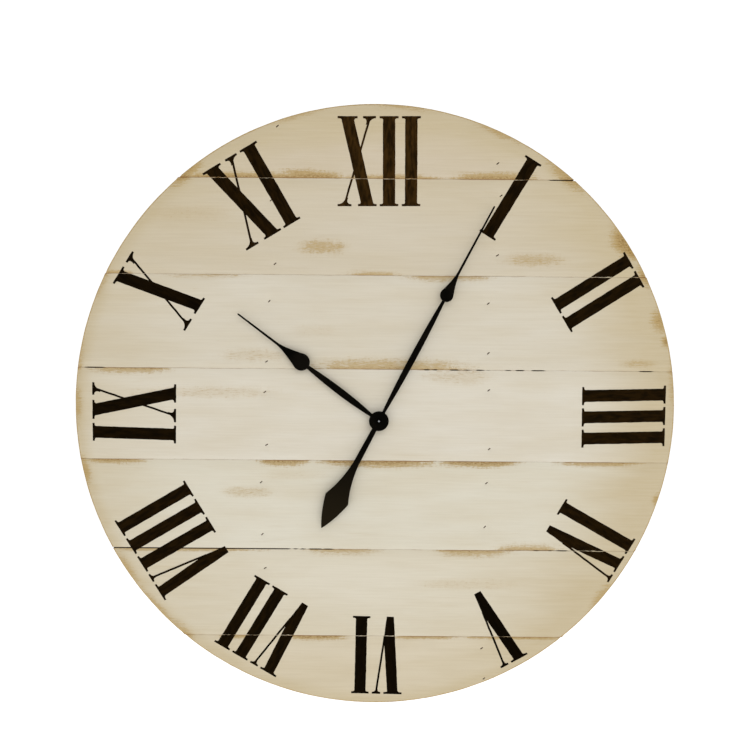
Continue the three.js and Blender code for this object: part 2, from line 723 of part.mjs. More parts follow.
// An AA cell that lies across the bay.
function battery() {
  const profile = [
    [0, BATTERY_LEFT],
    [BATTERY_RADIUS - 0.6, BATTERY_LEFT],
    [BATTERY_RADIUS, BATTERY_LEFT + 0.6],
    [BATTERY_RADIUS, BATTERY_RIGHT - 0.6],
    [BATTERY_RADIUS - 0.6, BATTERY_RIGHT],
    [2.7, BATTERY_RIGHT],
    [2.7, BATTERY_NUB],
    [0, BATTERY_NUB],
  ];
  const lathe = new THREE.LatheGeometry(
    profile.map(([radius, along]) => point(radius, along)),
    24,
  );
  lathe.rotateZ(-Math.PI / 2);
  lathe.translate(0, back(BATTERY_DEPTH), BATTERY_Z);
  return solidOf(lathe);
}

function positiveContact() {
  return box(25.9, back(3), BATTERY_Z - 5, 26.4, back(13), BATTERY_Z + 5);
}

// A leaf bent into a V, which presses the cell against the other contact.
function negativeContact() {
  const outline = [
    point(-27, BATTERY_Z - 5),
    point(-26.6, BATTERY_Z - 5),
    point(-24.8, BATTERY_Z),
    point(-26.6, BATTERY_Z + 5),
    point(-27, BATTERY_Z + 5),
    point(-25.3, BATTERY_Z),
  ];
  return prism(outline, back(3), back(13));
}

// ---------------------------------------------------------------- case, cover and bridge

const HALF = CASE_SIDE / 2;

// The front shell, open at the back, with the threaded bush moulded in its front wall. The wall
// that divides the battery bay from the train stays standing between the two hollows.
function movementCase() {
  const outer = rectangle(-HALF, -HALF, HALF, HALF, CASE_CORNER);
  const shell = prism(outer, back(0), back(CASE_DEPTH));
  const inner = HALF - CASE_WALL;
  const bayInner = HALF - BATTERY_SIDE_WALL;
  const dividerTop = BAY_TOP + BAY_DIVIDER;
  const above = rectangle(-inner, dividerTop, inner, inner, 1.5);
  const below = rectangle(-bayInner, -bayInner, bayInner, BAY_TOP);
  const trainHollow = prism(above, back(CASE_FLOOR), back(CASE_DEPTH + 1));
  const bayHollow = prism(below, back(CASE_FLOOR), back(CASE_DEPTH + 1));
  const bush = bar(BUSH_RADIUS, ahead(BUSH_END), back(CASE_FLOOR / 2), 0, 0, 24);
  const bushBore = bar(BUSH_BORE, ahead(BUSH_END + 1), back(CASE_FLOOR + 1), 0, 0, 24);
  const stud = bar(STUD_RADIUS, back(CASE_FLOOR / 2), back(4), MINUTE_WHEEL_AT.x, MINUTE_WHEEL_AT.y, 12);
  const pivots = [THIRD_AT, SETTING_AT].map((at) =>
    bar(PIVOT_HOLE, back(CASE_FLOOR - 0.8), back(CASE_FLOOR + 1), at.x, at.y, 12),
  );
  return cut(join(cut(shell, trainHollow, bayHollow), bush, stud), bushBore, ...pivots);
}

// The rear cover closes the train. The battery bay below it stays open.
function movementCover() {
  const outline = rectangle(-HALF, BAY_TOP, HALF, HALF, CASE_CORNER);
  const plate = prism(outline, back(COVER_FRONT), back(COVER_BACK));
  const pivots = [CENTRE, THIRD_AT, INTERMEDIATE_AT, ROTOR_AT].map((at) =>
    bar(PIVOT_HOLE, back(COVER_FRONT - 1), back(COVER_FRONT + 0.8), at.x, at.y, 12),
  );
  const knobHole = bar(1.4, back(COVER_FRONT - 1), back(COVER_BACK + 1), SETTING_AT.x, SETTING_AT.y);
  return cut(plate, knobHole, ...pivots);
}

// The bridge carries the fast arbors' front pivots, on four posts over the case's front wall.
function trainBridge() {
  const outline = [point(-11.2, -10.8), point(19.2, -10.8), point(19.2, 17), point(-3, 20.2)];
  const plate = prism(outline, back(BRIDGE_LAYER[0]), back(BRIDGE_LAYER[1]));
  const postPlaces = [
    [-9.4, -9.6],
    [17, -8.6],
    [17, 14.5],
    [-1, 18],
  ];
  const posts = postPlaces.map(([x, z]) => bar(1.1, back(CASE_FLOOR + GAP), back(6), x, z, 10));
  const holes = [
    [CENTRE, ARBOR_RADIUS + 0.3],
    [THIRD_AT, STAFF_HOLE],
    [INTERMEDIATE_AT, PIVOT_HOLE],
    [ROTOR_AT, PIVOT_HOLE],
  ].map(([at, radius]) => bar(radius, back(5), back(7), at.x, at.y, 16));
  return cut(join(plate, ...posts), ...holes);
}

// ---------------------------------------------------------------- what clamps the movement

// A flat ring around the hub.
function ring(inner, outer, near, far, sides = 24) {
  return prism(circle(0, 0, outer, sides), near, far, [circle(0, 0, inner, 24)]);
}

const gasketFront = BOARD_BACK + GAP;
const washerBack = ahead(GAP);
const nutBack = washerBack - WASHER_THICKNESS - GAP;
const gasket = ring(4.6, 11, gasketFront, gasketFront + GASKET_THICKNESS);
const washer = ring(4.6, 9.5, washerBack - WASHER_THICKNESS, washerBack);
const nut = ring(4.4, 7, nutBack - NUT_THICKNESS, nutBack, 6);

// ---------------------------------------------------------------- hands

// One half of a hand's outline, from its rear end to its tip, as curves. z runs along the hand.
// It is mirrored, and the hand is turned clockwise to its angle.
function handOutline(half, angle) {
  const right = half.getPoints(5);
  const left = right
    .filter((p) => p.x > 0.001)
    .map((p) => point(-p.x, p.y))
    .reverse();
  return [...right, ...left].map((p) => p.rotateAround(CENTRE, -degrees(angle)));
}

// From the boss to the needle's tip: a narrow arm that swells half way, a round spade, and a
// needle. armSwell is the swell's half width.
function armAndSpade(path, boss, armSwell, spadeAt, spadeRadius, needleAt, tipAt) {
  const neck = 2.9;
  const needle = 1.6;
  const under = spadeAt - Math.sqrt(spadeRadius ** 2 - neck ** 2);
  const swellAt = (boss + under) / 2;
  path.quadraticCurveTo(armSwell, (boss + swellAt) / 2, armSwell, swellAt);
  path.quadraticCurveTo(armSwell, (swellAt + under) / 2, neck, under);
  const start = Math.asin((under - spadeAt) / spadeRadius);
  path.absarc(0, spadeAt, spadeRadius, start, degrees(25), false);
  path.quadraticCurveTo(needle + 1, needleAt - 12, needle, needleAt);
  path.lineTo(0.9, tipAt - 2);
  path.lineTo(0, tipAt);
}

const HOUR_BOSS = 12;
const MINUTE_BOSS = 15;
const ARM_ROOT = 2.3;

function hourHandHalf() {
  const half = new THREE.Path();
  const leaving = Math.acos(ARM_ROOT / HOUR_BOSS);
  half.moveTo(0, -HOUR_BOSS);
  half.absarc(0, 0, HOUR_BOSS, -Math.PI / 2 + 0.3, leaving, false);
  armAndSpade(half, HOUR_BOSS * Math.sin(leaving), 5, 147, 13.3, 193, 266);
  return half;
}

const TAIL_STEM = 3.2;
const TAIL_TIP = 187;
const TAIL_WIDEST = 136;
const TAIL_HALF_WIDTH = 19.5;

function minuteHandHalf() {
  const half = new THREE.Path();
  const tailEnters = -Math.acos(TAIL_STEM / MINUTE_BOSS);
  const leaving = Math.acos(ARM_ROOT / MINUTE_BOSS);
  half.moveTo(0, -TAIL_TIP);
  half.quadraticCurveTo(11, -TAIL_TIP + 20, TAIL_HALF_WIDTH, -TAIL_WIDEST);
  half.quadraticCurveTo(7, -TAIL_WIDEST + 28, 4.7, -TAIL_WIDEST + 62);
  half.lineTo(TAIL_STEM, MINUTE_BOSS * Math.sin(tailEnters));
  half.absarc(0, 0, MINUTE_BOSS, tailEnters + 0.1, leaving, false);
  armAndSpade(half, MINUTE_BOSS * Math.sin(leaving), 5, 213, 10.4, 256, 359);
  return half;
}

// A flat stamped hand with a round collar behind its boss.
function hand(half, angle, plateBack, collarBack, collarRadius, bore) {
  const plate = prism(handOutline(half, angle), ahead(plateBack + HAND_THICKNESS), ahead(plateBack));
  const collar = bar(collarRadius, ahead(plateBack + 0.5), ahead(collarBack), 0, 0, 20);
  const hole = bar(bore, ahead(plateBack + 3), ahead(collarBack - 2), 0, 0, 20);
  return cut(join(plate, collar), hole);
}

const hourHand = hand(hourHandHalf(), HOUR_ANGLE, HOUR_HAND_BACK, 5.8, 4.6, PIPE_RADIUS + GAP);
const minuteHand = hand(
  minuteHandHalf(),
  MINUTE_ANGLE,
  MINUTE_HAND_BACK,
  9.6,
  3.6,
  ARBOR_RADIUS + GAP,
);

const handNutBack = ahead(MINUTE_HAND_BACK + HAND_THICKNESS + GAP);

// A low round nut with a chamfered front, open so that the arbor's tip shows.
function handNut() {
  const front = handNutBack - HAND_NUT_THICKNESS;
  const profile = [
    [0, front],
    [2.6, front],
    [3.4, front + 0.8],
    [3.4, handNutBack],
    [0, handNutBack],
  ];
  return cut(turned(profile), bar(ARBOR_RADIUS + GAP, front - 1, handNutBack + 1));
}

// ---------------------------------------------------------------- the movement's nodes

addTo(movement, "movement_case", movementCase(), BLACK_PLASTIC);
addTo(movement, "movement_cover", movementCover(), BLACK_PLASTIC);
addTo(movement, "train_bridge", trainBridge(), WHITE_PLASTIC);
addTo(movement, "rubber_gasket", gasket, RUBBER);
addTo(movement, "dial_washer", washer, BRASS);
addTo(movement, "dial_nut", nut, BRASS);
addTo(movement, "hour_hand", hourHand, BLACK_METAL);
addTo(movement, "minute_hand", minuteHand, BLACK_METAL);
addTo(movement, "hand_nut", handNut(), BLACK_METAL);
addTo(movement, "hour_wheel", hourWheel(), WHITE_PLASTIC);
addTo(movement, "minute_arbor", minuteArbor(), STEEL);
addTo(movement, "centre_wheel", centreWheel(), WHITE_PLASTIC);
addTo(movement, "minute_wheel", minuteWheel(), WHITE_PLASTIC);
addTo(movement, "setting_knob", settingKnob(), BLACK_PLASTIC);
addTo(movement, "third_wheel", thirdWheel(), WHITE_PLASTIC);
addTo(movement, "fourth_wheel", fourthWheel(), WHITE_PLASTIC);
addTo(movement, "intermediate_wheel", intermediateWheel(), WHITE_PLASTIC);
addTo(movement, "rotor", rotor(), MAGNET);
addTo(movement, "stator", stator(), STEEL);
addTo(movement, "coil", coil(), COPPER);
addTo(movement, "circuit_board", circuitBoard(), BOARD_GREEN);
addTo(movement, "battery", battery(), BATTERY_WRAP);
addTo(movement, "contact_positive", positiveContact(), STEEL);
addTo(movement, "contact_negative", negativeContact(), STEEL);

export default clock;
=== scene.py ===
# The looks of a large plank wall clock: seven painted boards cut to one disc, roman numerals
# painted across them, spade hands, battens behind and a battery movement.
#
# Lengths are in millimetres until a mesh is made. "Dial" coordinates are x to the right and z up
# from the disc's centre, seen from the front; y is depth, and the front faces -Y.
import math

import bmesh
import bpy
import numpy as np
from mathutils import Matrix, Vector, geometry, noise


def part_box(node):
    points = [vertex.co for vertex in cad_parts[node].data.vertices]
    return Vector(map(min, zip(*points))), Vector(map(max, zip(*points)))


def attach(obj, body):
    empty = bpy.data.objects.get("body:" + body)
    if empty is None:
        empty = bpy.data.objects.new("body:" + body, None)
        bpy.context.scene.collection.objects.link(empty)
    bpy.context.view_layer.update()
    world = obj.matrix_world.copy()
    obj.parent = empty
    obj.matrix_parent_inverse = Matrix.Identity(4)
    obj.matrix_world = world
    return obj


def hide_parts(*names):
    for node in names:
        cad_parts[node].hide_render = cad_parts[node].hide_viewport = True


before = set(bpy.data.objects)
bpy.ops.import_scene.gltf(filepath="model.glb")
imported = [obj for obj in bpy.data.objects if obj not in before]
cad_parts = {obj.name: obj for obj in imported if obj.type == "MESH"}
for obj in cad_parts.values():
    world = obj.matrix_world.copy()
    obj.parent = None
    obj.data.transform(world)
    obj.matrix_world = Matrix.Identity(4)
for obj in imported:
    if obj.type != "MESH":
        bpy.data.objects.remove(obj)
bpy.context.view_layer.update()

# ---------------- places, from the frame

MM = 0.001
SQUARE_ANGLE = math.pi / 2
FULL_TURN = 2 * math.pi


def span(node):
    """The lowest and highest corner of a CAD node, in millimetres."""
    low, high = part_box(node)
    return low / MM, high / MM


BOARD_COUNT = 7
MIDDLE_ROW = 4
ROWS = range(1, BOARD_COUNT + 1)
board_span = {row: span(f"board_{row}") for row in ROWS}
DISC_TOP = board_span[1][1].z
DISC_LOW = board_span[BOARD_COUNT][0].z
RADIUS = (DISC_TOP - DISC_LOW) / 2
CENTRE_Z = (DISC_TOP + DISC_LOW) / 2
FRONT = board_span[MIDDLE_ROW][0].y
BACK = board_span[MIDDLE_ROW][1].y
# Heights of the six seams over the disc's centre; seam 1 is under the top board.
SEAMS = [(board_span[row][0].z + board_span[row + 1][1].z) / 2 - CENTRE_Z for row in ROWS[:-1]]
# The same with the disc's top and foot: row r lies between LEVELS[r - 1] and LEVELS[r].
LEVELS = [RADIUS, *SEAMS, -RADIUS]


def centre(node):
    """The middle of a CAD node, as a dial point."""
    low, high = span(node)
    return (low.x + high.x) / 2, (low.z + high.z) / 2 - CENTRE_Z


HUB_X, HUB_Z = centre("dial_washer")

# ---------------- small helpers


def srgb(red, green, blue):
    """A colour given in 0-255 screen values, as linear values with alpha."""
    linear = []
    for value in (red, green, blue):
        part = value / 255
        linear.append(part / 12.92 if part <= 0.04045 else ((part + 0.055) / 1.055) ** 2.4)
    return (*linear, 1.0)


def smooth(value, low, high):
    """0 below low, 1 above high, and smooth between them."""
    part = min(max((value - low) / (high - low), 0.0), 1.0)
    return part * part * (3 - 2 * part)


def drift(along, reach, seed):
    """A slow wander between about -1 and 1 along a length."""
    return noise.noise(Vector((along / reach, seed * 7.31, 0.37)))


def arc(x, z, radius, start, end, steps):
    """Points on an arc, both ends included. Angles run anticlockwise from +X."""
    angles = [start + (end - start) * i / steps for i in range(steps + 1)]
    return [(x + radius * math.cos(a), z + radius * math.sin(a)) for a in angles]


def curve(start, control, end, steps):
    """Points on a quadratic curve, without its start."""
    points = []
    for i in range(1, steps + 1):
        t = i / steps
        weights = ((1 - t) ** 2, 2 * t * (1 - t), t * t)
        points.append(
            tuple(sum(w * p[k] for w, p in zip(weights, (start, control, end))) for k in (0, 1))
        )
    return points


def circle(x, z, radius, steps):
    return arc(x, z, radius, 0, FULL_TURN, steps)[:-1]


def turn_clockwise(points, angle, x=0.0, z=0.0):
    """Points turned clockwise about the origin by an angle in degrees, then moved."""
    c = math.cos(math.radians(angle))
    s = math.sin(math.radians(angle))
    return [(x + u * c + v * s, z - u * s + v * c) for u, v in points]


def area(loop):
    """Signed area; positive when the loop runs anticlockwise."""
    pairs = zip(loop, loop[1:] + loop[:1])
    return sum(a[0] * b[1] - b[0] * a[1] for a, b in pairs) / 2


def inset(loop, depths):
    """An anticlockwise loop moved inwards, or a clockwise hole moved outwards, by a depth per point."""
    moved = []
    for i, here in enumerate(loop):
        before = loop[i - 1]
        after = loop[(i + 1) % len(loop)]
        first = Vector((here[0] - before[0], here[1] - before[1])).normalized()
        second = Vector((after[0] - here[0], after[1] - here[1])).normalized()
        inward = Vector((-first.y - second.y, first.x + second.x))
        reach = depths[i] * 2 / max(inward.length_squared, 0.8)
        moved.append((here[0] + inward.x * reach, here[1] + inward.y * reach))
    return moved


def inside(points, loop):
    """For each point, whether it lies inside the loop."""
    points = np.asarray(points, float)
    loop = np.asarray(loop, float)
    x0, z0 = loop[:, 0], loop[:, 1]
    x1, z1 = np.roll(x0, -1), np.roll(z0, -1)
    result = np.zeros(len(points), bool)
    for i, (x, z) in enumerate(points):
        crosses = (z0 > z) != (z1 > z)
        at = x0[crosses] + (z - z0[crosses]) * (x1 - x0)[crosses] / (z1 - z0)[crosses]
        result[i] = np.count_nonzero(at > x) % 2 == 1
    return result


def joined(loops):
    """The points of several loops in one list, and the edges between them."""
    points = []
    edges = []
    for loop in loops:
        start = len(points)
        points.extend(loop)
        edges.extend((start + i, start + (i + 1) % len(loop)) for i in range(len(loop)))
    return points, edges


def middle_of(face, points):
    return tuple(sum(points[v][k] for v in face) / len(face) for k in (0, 1))


def triangulate(loops, extra):
    """Triangles over the first loop less the others. Returns the points and the triangles.

    The loops' own points keep their places at the start of the list.
    """
    points, edges = joined(loops)
    points.extend(extra)
    flat = [Vector(p) for p in points]
    out, _, faces, origins, _, _ = geometry.delaunay_2d_cdt(flat, edges, [], 0, 1e-5)
    index = []
    for place, origin in zip(out, origins):
        if origin:
            index.append(origin[0])
        else:
            index.append(len(points))
            points.append(tuple(place))
    triangles = [tuple(index[v] for v in face) for face in faces]
    middles = [middle_of(face, points) for face in triangles]
    keep = inside(middles, loops[0])
    for hole in loops[1:]:
        keep &= ~inside(middles, hole)
    return points, [face for face, kept in zip(triangles, keep) if kept]


def make_piece(name, vertices, faces, body, slot, material, replaces=()):
    """A mesh object from vertices in millimetres, which rides on a body."""
    mesh = bpy.data.meshes.new(name)
    mesh.from_pydata([tuple(c * MM for c in v) for v in vertices], [], faces)
    solid = bmesh.new()
    solid.from_mesh(mesh)
    bmesh.ops.remove_doubles(solid, verts=solid.verts, dist=1e-7)
    bmesh.ops.recalc_face_normals(solid, faces=solid.faces)
    solid.to_mesh(mesh)
    solid.free()
    mesh.shade_smooth()
    mesh.set_sharp_from_angle(angle=math.radians(34))
    piece = bpy.data.objects.new(name, mesh)
    bpy.context.scene.collection.objects.link(piece)
    mesh.materials.append(material)
    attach(piece, body)
    if replaces:
        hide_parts(*replaces)
    return piece


CORE_DEPTH = 4  # how far from the front and the back a board's joints are tight
EDGE_STEPS = 3  # around a rounded edge


def slab(outline, near, far, soft, rear_soft, holes=(), grid=0.0, core=None, rear=None):
    """A flat solid with eased edges, as vertices and faces.

    The loops are dial points. near and far are depths, soft is the radius of the front edge: one
    number, or one for each point of the outline. rear_soft is the size of the back's chamfer. grid
    spaces extra points over the front. core and rear, where given, are the outline half way
    through and at the back, point for point.
    """
    soft = soft if isinstance(soft, list) else [soft] * len(outline)
    hole_soft = min(soft[0], 0.4)
    rear = rear or outline
    if area(outline) < 0:
        outline, soft, rear = outline[::-1], soft[::-1], rear[::-1]
        core = core and core[::-1]
    holes = [hole if area(hole) < 0 else hole[::-1] for hole in holes]
    vertices = []
    faces = []
    front_loops = []
    back_loops = []
    for loop in (outline, *holes):
        count = len(loop)
        outer = loop is outline
        depths = soft if outer else [hole_soft] * count
        end = rear if outer else loop
        rings = [(inset(end, [rear_soft] * count), [far] * count), (end, [far - rear_soft] * count)]
        if outer and core:
            rings.append((core, [far - CORE_DEPTH] * count))
            rings.append((core, [near + CORE_DEPTH] * count))
        for level in range(EDGE_STEPS + 1):
            turn = SQUARE_ANGLE * level / EDGE_STEPS
            pulled = [d * (1 - math.cos(turn)) for d in depths]
            heights = [near + d * (1 - math.sin(turn)) for d in depths]
            rings.append((inset(loop, pulled), heights))
        start = len(vertices)
        for ring, heights in rings:
            vertices.extend((x, y, z + CENTRE_Z) for (x, z), y in zip(ring, heights))
        for k in range(len(rings) - 1):
            low = start + k * count
            for i in range(count):
                j = (i + 1) % count
                faces.append((low + i, low + j, low + count + j, low + count + i))
        front_loops.append((rings[-1][0], start + (len(rings) - 1) * count))
        back_loops.append((rings[0][0], start))
    for ends, depth in ((front_loops, near), (back_loops, far)):
        loops = [loop for loop, _ in ends]
        extra = grid_points(loops, grid) if grid and ends is front_loops else []
        points, triangles = triangulate(loops, extra)
        places = []
        for loop, first in ends:
            places.extend(range(first, first + len(loop)))
        for x, z in points[len(places) :]:
            places.append(len(vertices))
            vertices.append((x, depth, z + CENTRE_Z))
        faces.extend(tuple(places[v] for v in face) for face in triangles)
    return vertices, faces


def grid_points(loops, pitch):
    """Points of a square grid that lie well inside the first loop and outside the others."""
    outer = np.asarray(loops[0])
    low = outer.min(0)
    high = outer.max(0)
    points = [
        (x, z)
        for x in np.arange(low[0] + pitch / 2, high[0], pitch)
        for z in np.arange(low[1] + pitch / 2, high[1], pitch)
    ]
    ends = np.concatenate([np.asarray(loop) for loop in loops])
    inner = inside(points, loops[0])
    kept = []
    for point, within in zip(points, inner):
        if within and np.hypot(ends[:, 0] - point[0], ends[:, 1] - point[1]).min() > pitch * 0.45:
            kept.append(point)
    return kept


def merge(*solids):
    """Several (vertices, faces) pairs as one."""
    vertices = []
    faces = []
    for more_vertices, more_faces in solids:
        start = len(vertices)
        vertices.extend(more_vertices)
        faces.extend(tuple(start + v for v in face) for face in more_faces)
    return vertices, faces


def turned(profile, x, z, sides=48, along="y"):
    """A turned solid. Each profile point is (radius, place along the axis), axis to axis.

    along is "y" for an axis through dial point (x, z), or "x" for one at depth x, height z.
    """
    vertices = []
    faces = []
    rings = []
    for radius, place in profile:
        if radius < 1e-6:
            ring = [len(vertices)]
        else:
            ring = list(range(len(vertices), len(vertices) + sides))
        rings.append(ring)
        for i in range(len(ring)):
            a = radius * math.cos(FULL_TURN * i / sides)
            b = radius * math.sin(FULL_TURN * i / sides)
            if along == "y":
                vertices.append((x + a, place, z + CENTRE_Z + b))
            else:
                vertices.append((place, x + a, z + CENTRE_Z + b))
    for first, second in zip(rings, rings[1:]):
        for i in range(sides):
            corners = (
                first[i % len(first)],
                first[(i + 1) % len(first)],
                second[(i + 1) % len(second)],
                second[i % len(second)],
            )
            face = tuple(dict.fromkeys(corners))
            if len(face) > 2:
                faces.append(face)
    return vertices, faces


# ---------------- material nodes


class Value:
    """A number that varies over a surface. Arithmetic on it adds nodes to its look."""

    def __init__(self, look, socket):
        self.look = look
        self.socket = socket

    def math(self, operation, *others):
        inputs = dict(enumerate((self, *others)))
        return self.look.value("ShaderNodeMath", inputs, operation=operation)

    def __add__(self, other):
        return self.math("ADD", other)

    def __sub__(self, other):
        return self.math("SUBTRACT", other)

    def __mul__(self, other):
        return self.math("MULTIPLY", other)

    def __pow__(self, other):
        return self.math("POWER", other)

    def __abs__(self):
        return self.math("ABSOLUTE")

    def most(self, other):
        return self.math("MAXIMUM", other)

    def least(self, other):
        return self.math("MINIMUM", other)

    def clamped(self):
        """Held between 0 and 1."""
        return self.look.value("ShaderNodeClamp", {"Value": self})

    def fade(self, low, high, start=0.0, end=1.0):
        """start below low, end above high, smooth between."""
        inputs = {"Value": self, "From Min": low, "From Max": high, "To Min": start, "To Max": end}
        return self.look.value("ShaderNodeMapRange", inputs, interpolation_type="SMOOTHSTEP")


class Look:
    """One procedural material. Its space is in millimetres from the disc's centre."""

    def __init__(self, name, roughness, metallic=0.0, specular=0.5):
        self.material = bpy.data.materials.new(name)
        self.material.use_nodes = True
        self.tree = self.material.node_tree
        self.shader = self.tree.nodes["Principled BSDF"]
        self.shader.inputs["Roughness"].default_value = roughness
        self.shader.inputs["Metallic"].default_value = metallic
        self.shader.inputs["Specular IOR Level"].default_value = specular
        place = self.node("ShaderNodeTexCoord").outputs["Object"]
        self.place = self.mapped(place, (0, 0, -CENTRE_Z), (1 / MM,) * 3)
        self.x, self.y, self.z = self.split(self.place)

    def plug(self, value, socket):
        """Links a node's output to a socket, or sets the socket."""
        if isinstance(value, Value):
            value = value.socket
        if isinstance(value, bpy.types.NodeSocket):
            self.tree.links.new(value, socket)
        else:
            socket.default_value = value

    def node(self, kind, inputs=None, **settings):
        made = self.tree.nodes.new(kind)
        for key, value in settings.items():
            setattr(made, key, value)
        for key, value in (inputs or {}).items():
            self.plug(value, made.inputs[key])
        return made

    def value(self, kind, inputs, **settings):
        return Value(self, self.node(kind, inputs, **settings).outputs[0])

    def mapped(self, place, shift, scale):
        inputs = {"Vector": place, "Location": shift, "Scale": scale}
        return self.node("ShaderNodeMapping", inputs).outputs[0]

    def split(self, place):
        outputs = self.node("ShaderNodeSeparateXYZ", {0: place}).outputs
        return [Value(self, output) for output in outputs]

    def noise(self, size, seed=0.0, detail=3.0, roughness=0.55, distortion=0.0):
        """A cloudy noise. size is how long its grain is: a number, or one for each axis."""
        if isinstance(size, (int, float)):
            size = (size,) * 3
        shift = (seed * 3.7, seed * 1.9, seed * 5.3)
        inputs = {
            "Vector": self.mapped(self.place, shift, tuple(1 / s for s in size)),
            "Scale": 1.0,
            "Detail": detail,
            "Roughness": roughness,
            "Distortion": distortion,
        }
        return self.value("ShaderNodeTexNoise", inputs)

    def patch(self, x, z, half_x, half_z, ragged=None):
        """1 in the middle of a blunt oval and 0 outside it. ragged is a noise that breaks its edge."""
        shift = (-x / half_x, 0, -z / half_z)
        along, _, across = self.split(self.mapped(self.place, shift, (1 / half_x, 0, 1 / half_z)))
        far = (abs(along) ** 3 + across * across) ** 0.5
        if ragged is not None:
            far += ragged
        return far.fade(0.25, 1.05, 1.0, 0.0)

    def mix(self, factor, first, second):
        inputs = {0: factor, 6: first, 7: second}
        return self.node("ShaderNodeMix", inputs, data_type="RGBA").outputs[2]

    def bump(self, height, distance, strength):
        """distance is in millimetres."""
        inputs = {"Height": height, "Distance": distance * MM, "Strength": strength}
        return self.node("ShaderNodeBump", inputs).outputs[0]

    def finish(self, color, roughness=None, normal=None, metallic=None):
        given = {"Base Color": color, "Roughness": roughness, "Normal": normal, "Metallic": metallic}
        for key, value in given.items():
            if value is not None:
                self.plug(value, self.shader.inputs[key])
        return self.material


# ---------------- painted boards: the look

# Where the paint is rubbed through: x from, x to, z, half height, strength. Each place belongs to
# the board that its middle is on, so a place beside a joint ends sharply at the joint.
WORN = [
    (-315, -60, 353, 10, 0.75),
    (-155, -45, 355, 12, 0.95),
    (-60, 110, 353, 8, 0.6),
    (100, 250, 354, 11, 0.85),
    (-122, -38, 253, 15, 0.6),
    (185, 290, 236, 13, 0.5),
    (-47, 40, 213.5, 8, 0.45),
    (30, 185, 210.5, 10, 0.5),
    (-350, -210, 300, 14, 0.25),
    (-330, -180, 210, 7, 0.3),
    (-420, -360, 213.5, 6, 0.5),
    (-130, -50, 130, 12, 0.2),
    (-250, -120, 92, 13, 0.35),
    (-120, 163, 77, 16, 0.6),
    (365, 430, 84, 8, 0.45),
    (-445, -300, 70, 10, 0.6),
    (-390, -131, 36, 12, 0.34),
    (60, 190, 62, 14, 0.35),
    (-455, -340, -69, 9, 0.7),
    (-186, -95, -69, 11, 0.85),
    (-98, 110, -69, 12, 1.0),
    (90, 230, -69, 11, 0.95),
    (270, 420, -69, 8, 0.6),
    (-243, -150, -118, 12, 0.42),
    (-180, -60, -90, 10, 0.2),
    (-453, -150, -209, 5, 0.5),
    (-120, 20, -209, 12, 0.45),
    (86, 227, -209, 13, 0.6),
    (180, 300, -205, 12, 0.6),
    (60, 240, -262, 12, 0.3),
    (-254, -182, -348, 8, 0.6),
    (-150, -31, -348, 9, 0.9),
    (20, 140, -348, 6, 0.6),
    (130, 320, -348, 5, 0.6),
]

# Where the rim is rubbed: bearing in degrees clockwise from twelve, half width along the rim,
# half depth inwards, strength.
RUBBED_RIM = [
    (23, 52, 12, 0.75),
    (38, 50, 18, 0.85),
    (54.5, 34, 26, 1.4),
    (56.5, 18, 14, 1.9),
    (62, 26, 14, 0.9),
    (71, 26, 22, 0.95),
    (75, 12, 12, 1.2),
    (84, 60, 12, 0.5),
    (106, 14, 12, 0.9),
    (128, 40, 16, 0.7),
    (228, 80, 12, 0.65),
    (238, 45, 15, 0.65),
    (222, 40, 16, 0.6),
    (259, 30, 14, 0.95),
    (272, 44, 14, 0.7),
    (281, 50, 10, 0.5),
    (296, 40, 10, 0.5),
    (322, 40, 16, 1.0),
    (345, 60, 10, 0.55),
    (5, 70, 10, 0.5),
]

# Open joints that read as dark lines: seam, x from, x to, how broken they are.
CRACKS = [
    (1, 255, 300, 0.0),
    (3, -440, -412, 0.0),
    (3, 73, 257, 1.0),
    (3, 402, 421, 0.0),
    (5, -457, -150, 0.0),
    (5, -160, -39, 1.0),
    (5, 251, 306, 0.7),
    (5, 420, 457, 0.7),
]

# The seven boards' paint, a little different from one to the next.
BOARD_PAINT = [
    (216, 204, 187),
    (211, 200, 178),
    (218, 210, 192),
    (223, 216, 200),
    (222, 216, 198),
    (221, 213, 193),
    (220, 209, 186),
]
# The tan that the paint goes to: its own aged tone, and painted shade towards the rim.
TAN_PAINT_AND_SHADE = srgb(202, 186, 152)
WORN_TAN = srgb(184, 154, 94)
WORN_BROWN = srgb(134, 98, 44)
JOINT_DIRT = srgb(150, 108, 58)
# Painted shade: the dark brown painted on the joints' walls deep inside.
CRACK_SHADE_BROWN = srgb(54, 32, 10)

# The bare pine at the back of each board: its pale wood.
BOARD_PINE = [
    (216, 184, 136),
    (206, 172, 124),
    (222, 192, 146),
    (211, 178, 128),
    (218, 184, 132),
    (204, 168, 122),
    (220, 188, 142),
]
# Knots in the boards: x, z, half width.
KNOTS = [(-236, 128, 9), (64, -128, 7), (226, 284, 8), (-92, -276, 8), (302, -18, 6), (20, 402, 6)]
KNOT_BROWN = srgb(104, 62, 32)


def row_of(z):
    """The board at a height over the disc's centre."""
    return 1 + sum(1 for seam in SEAMS if z < seam)


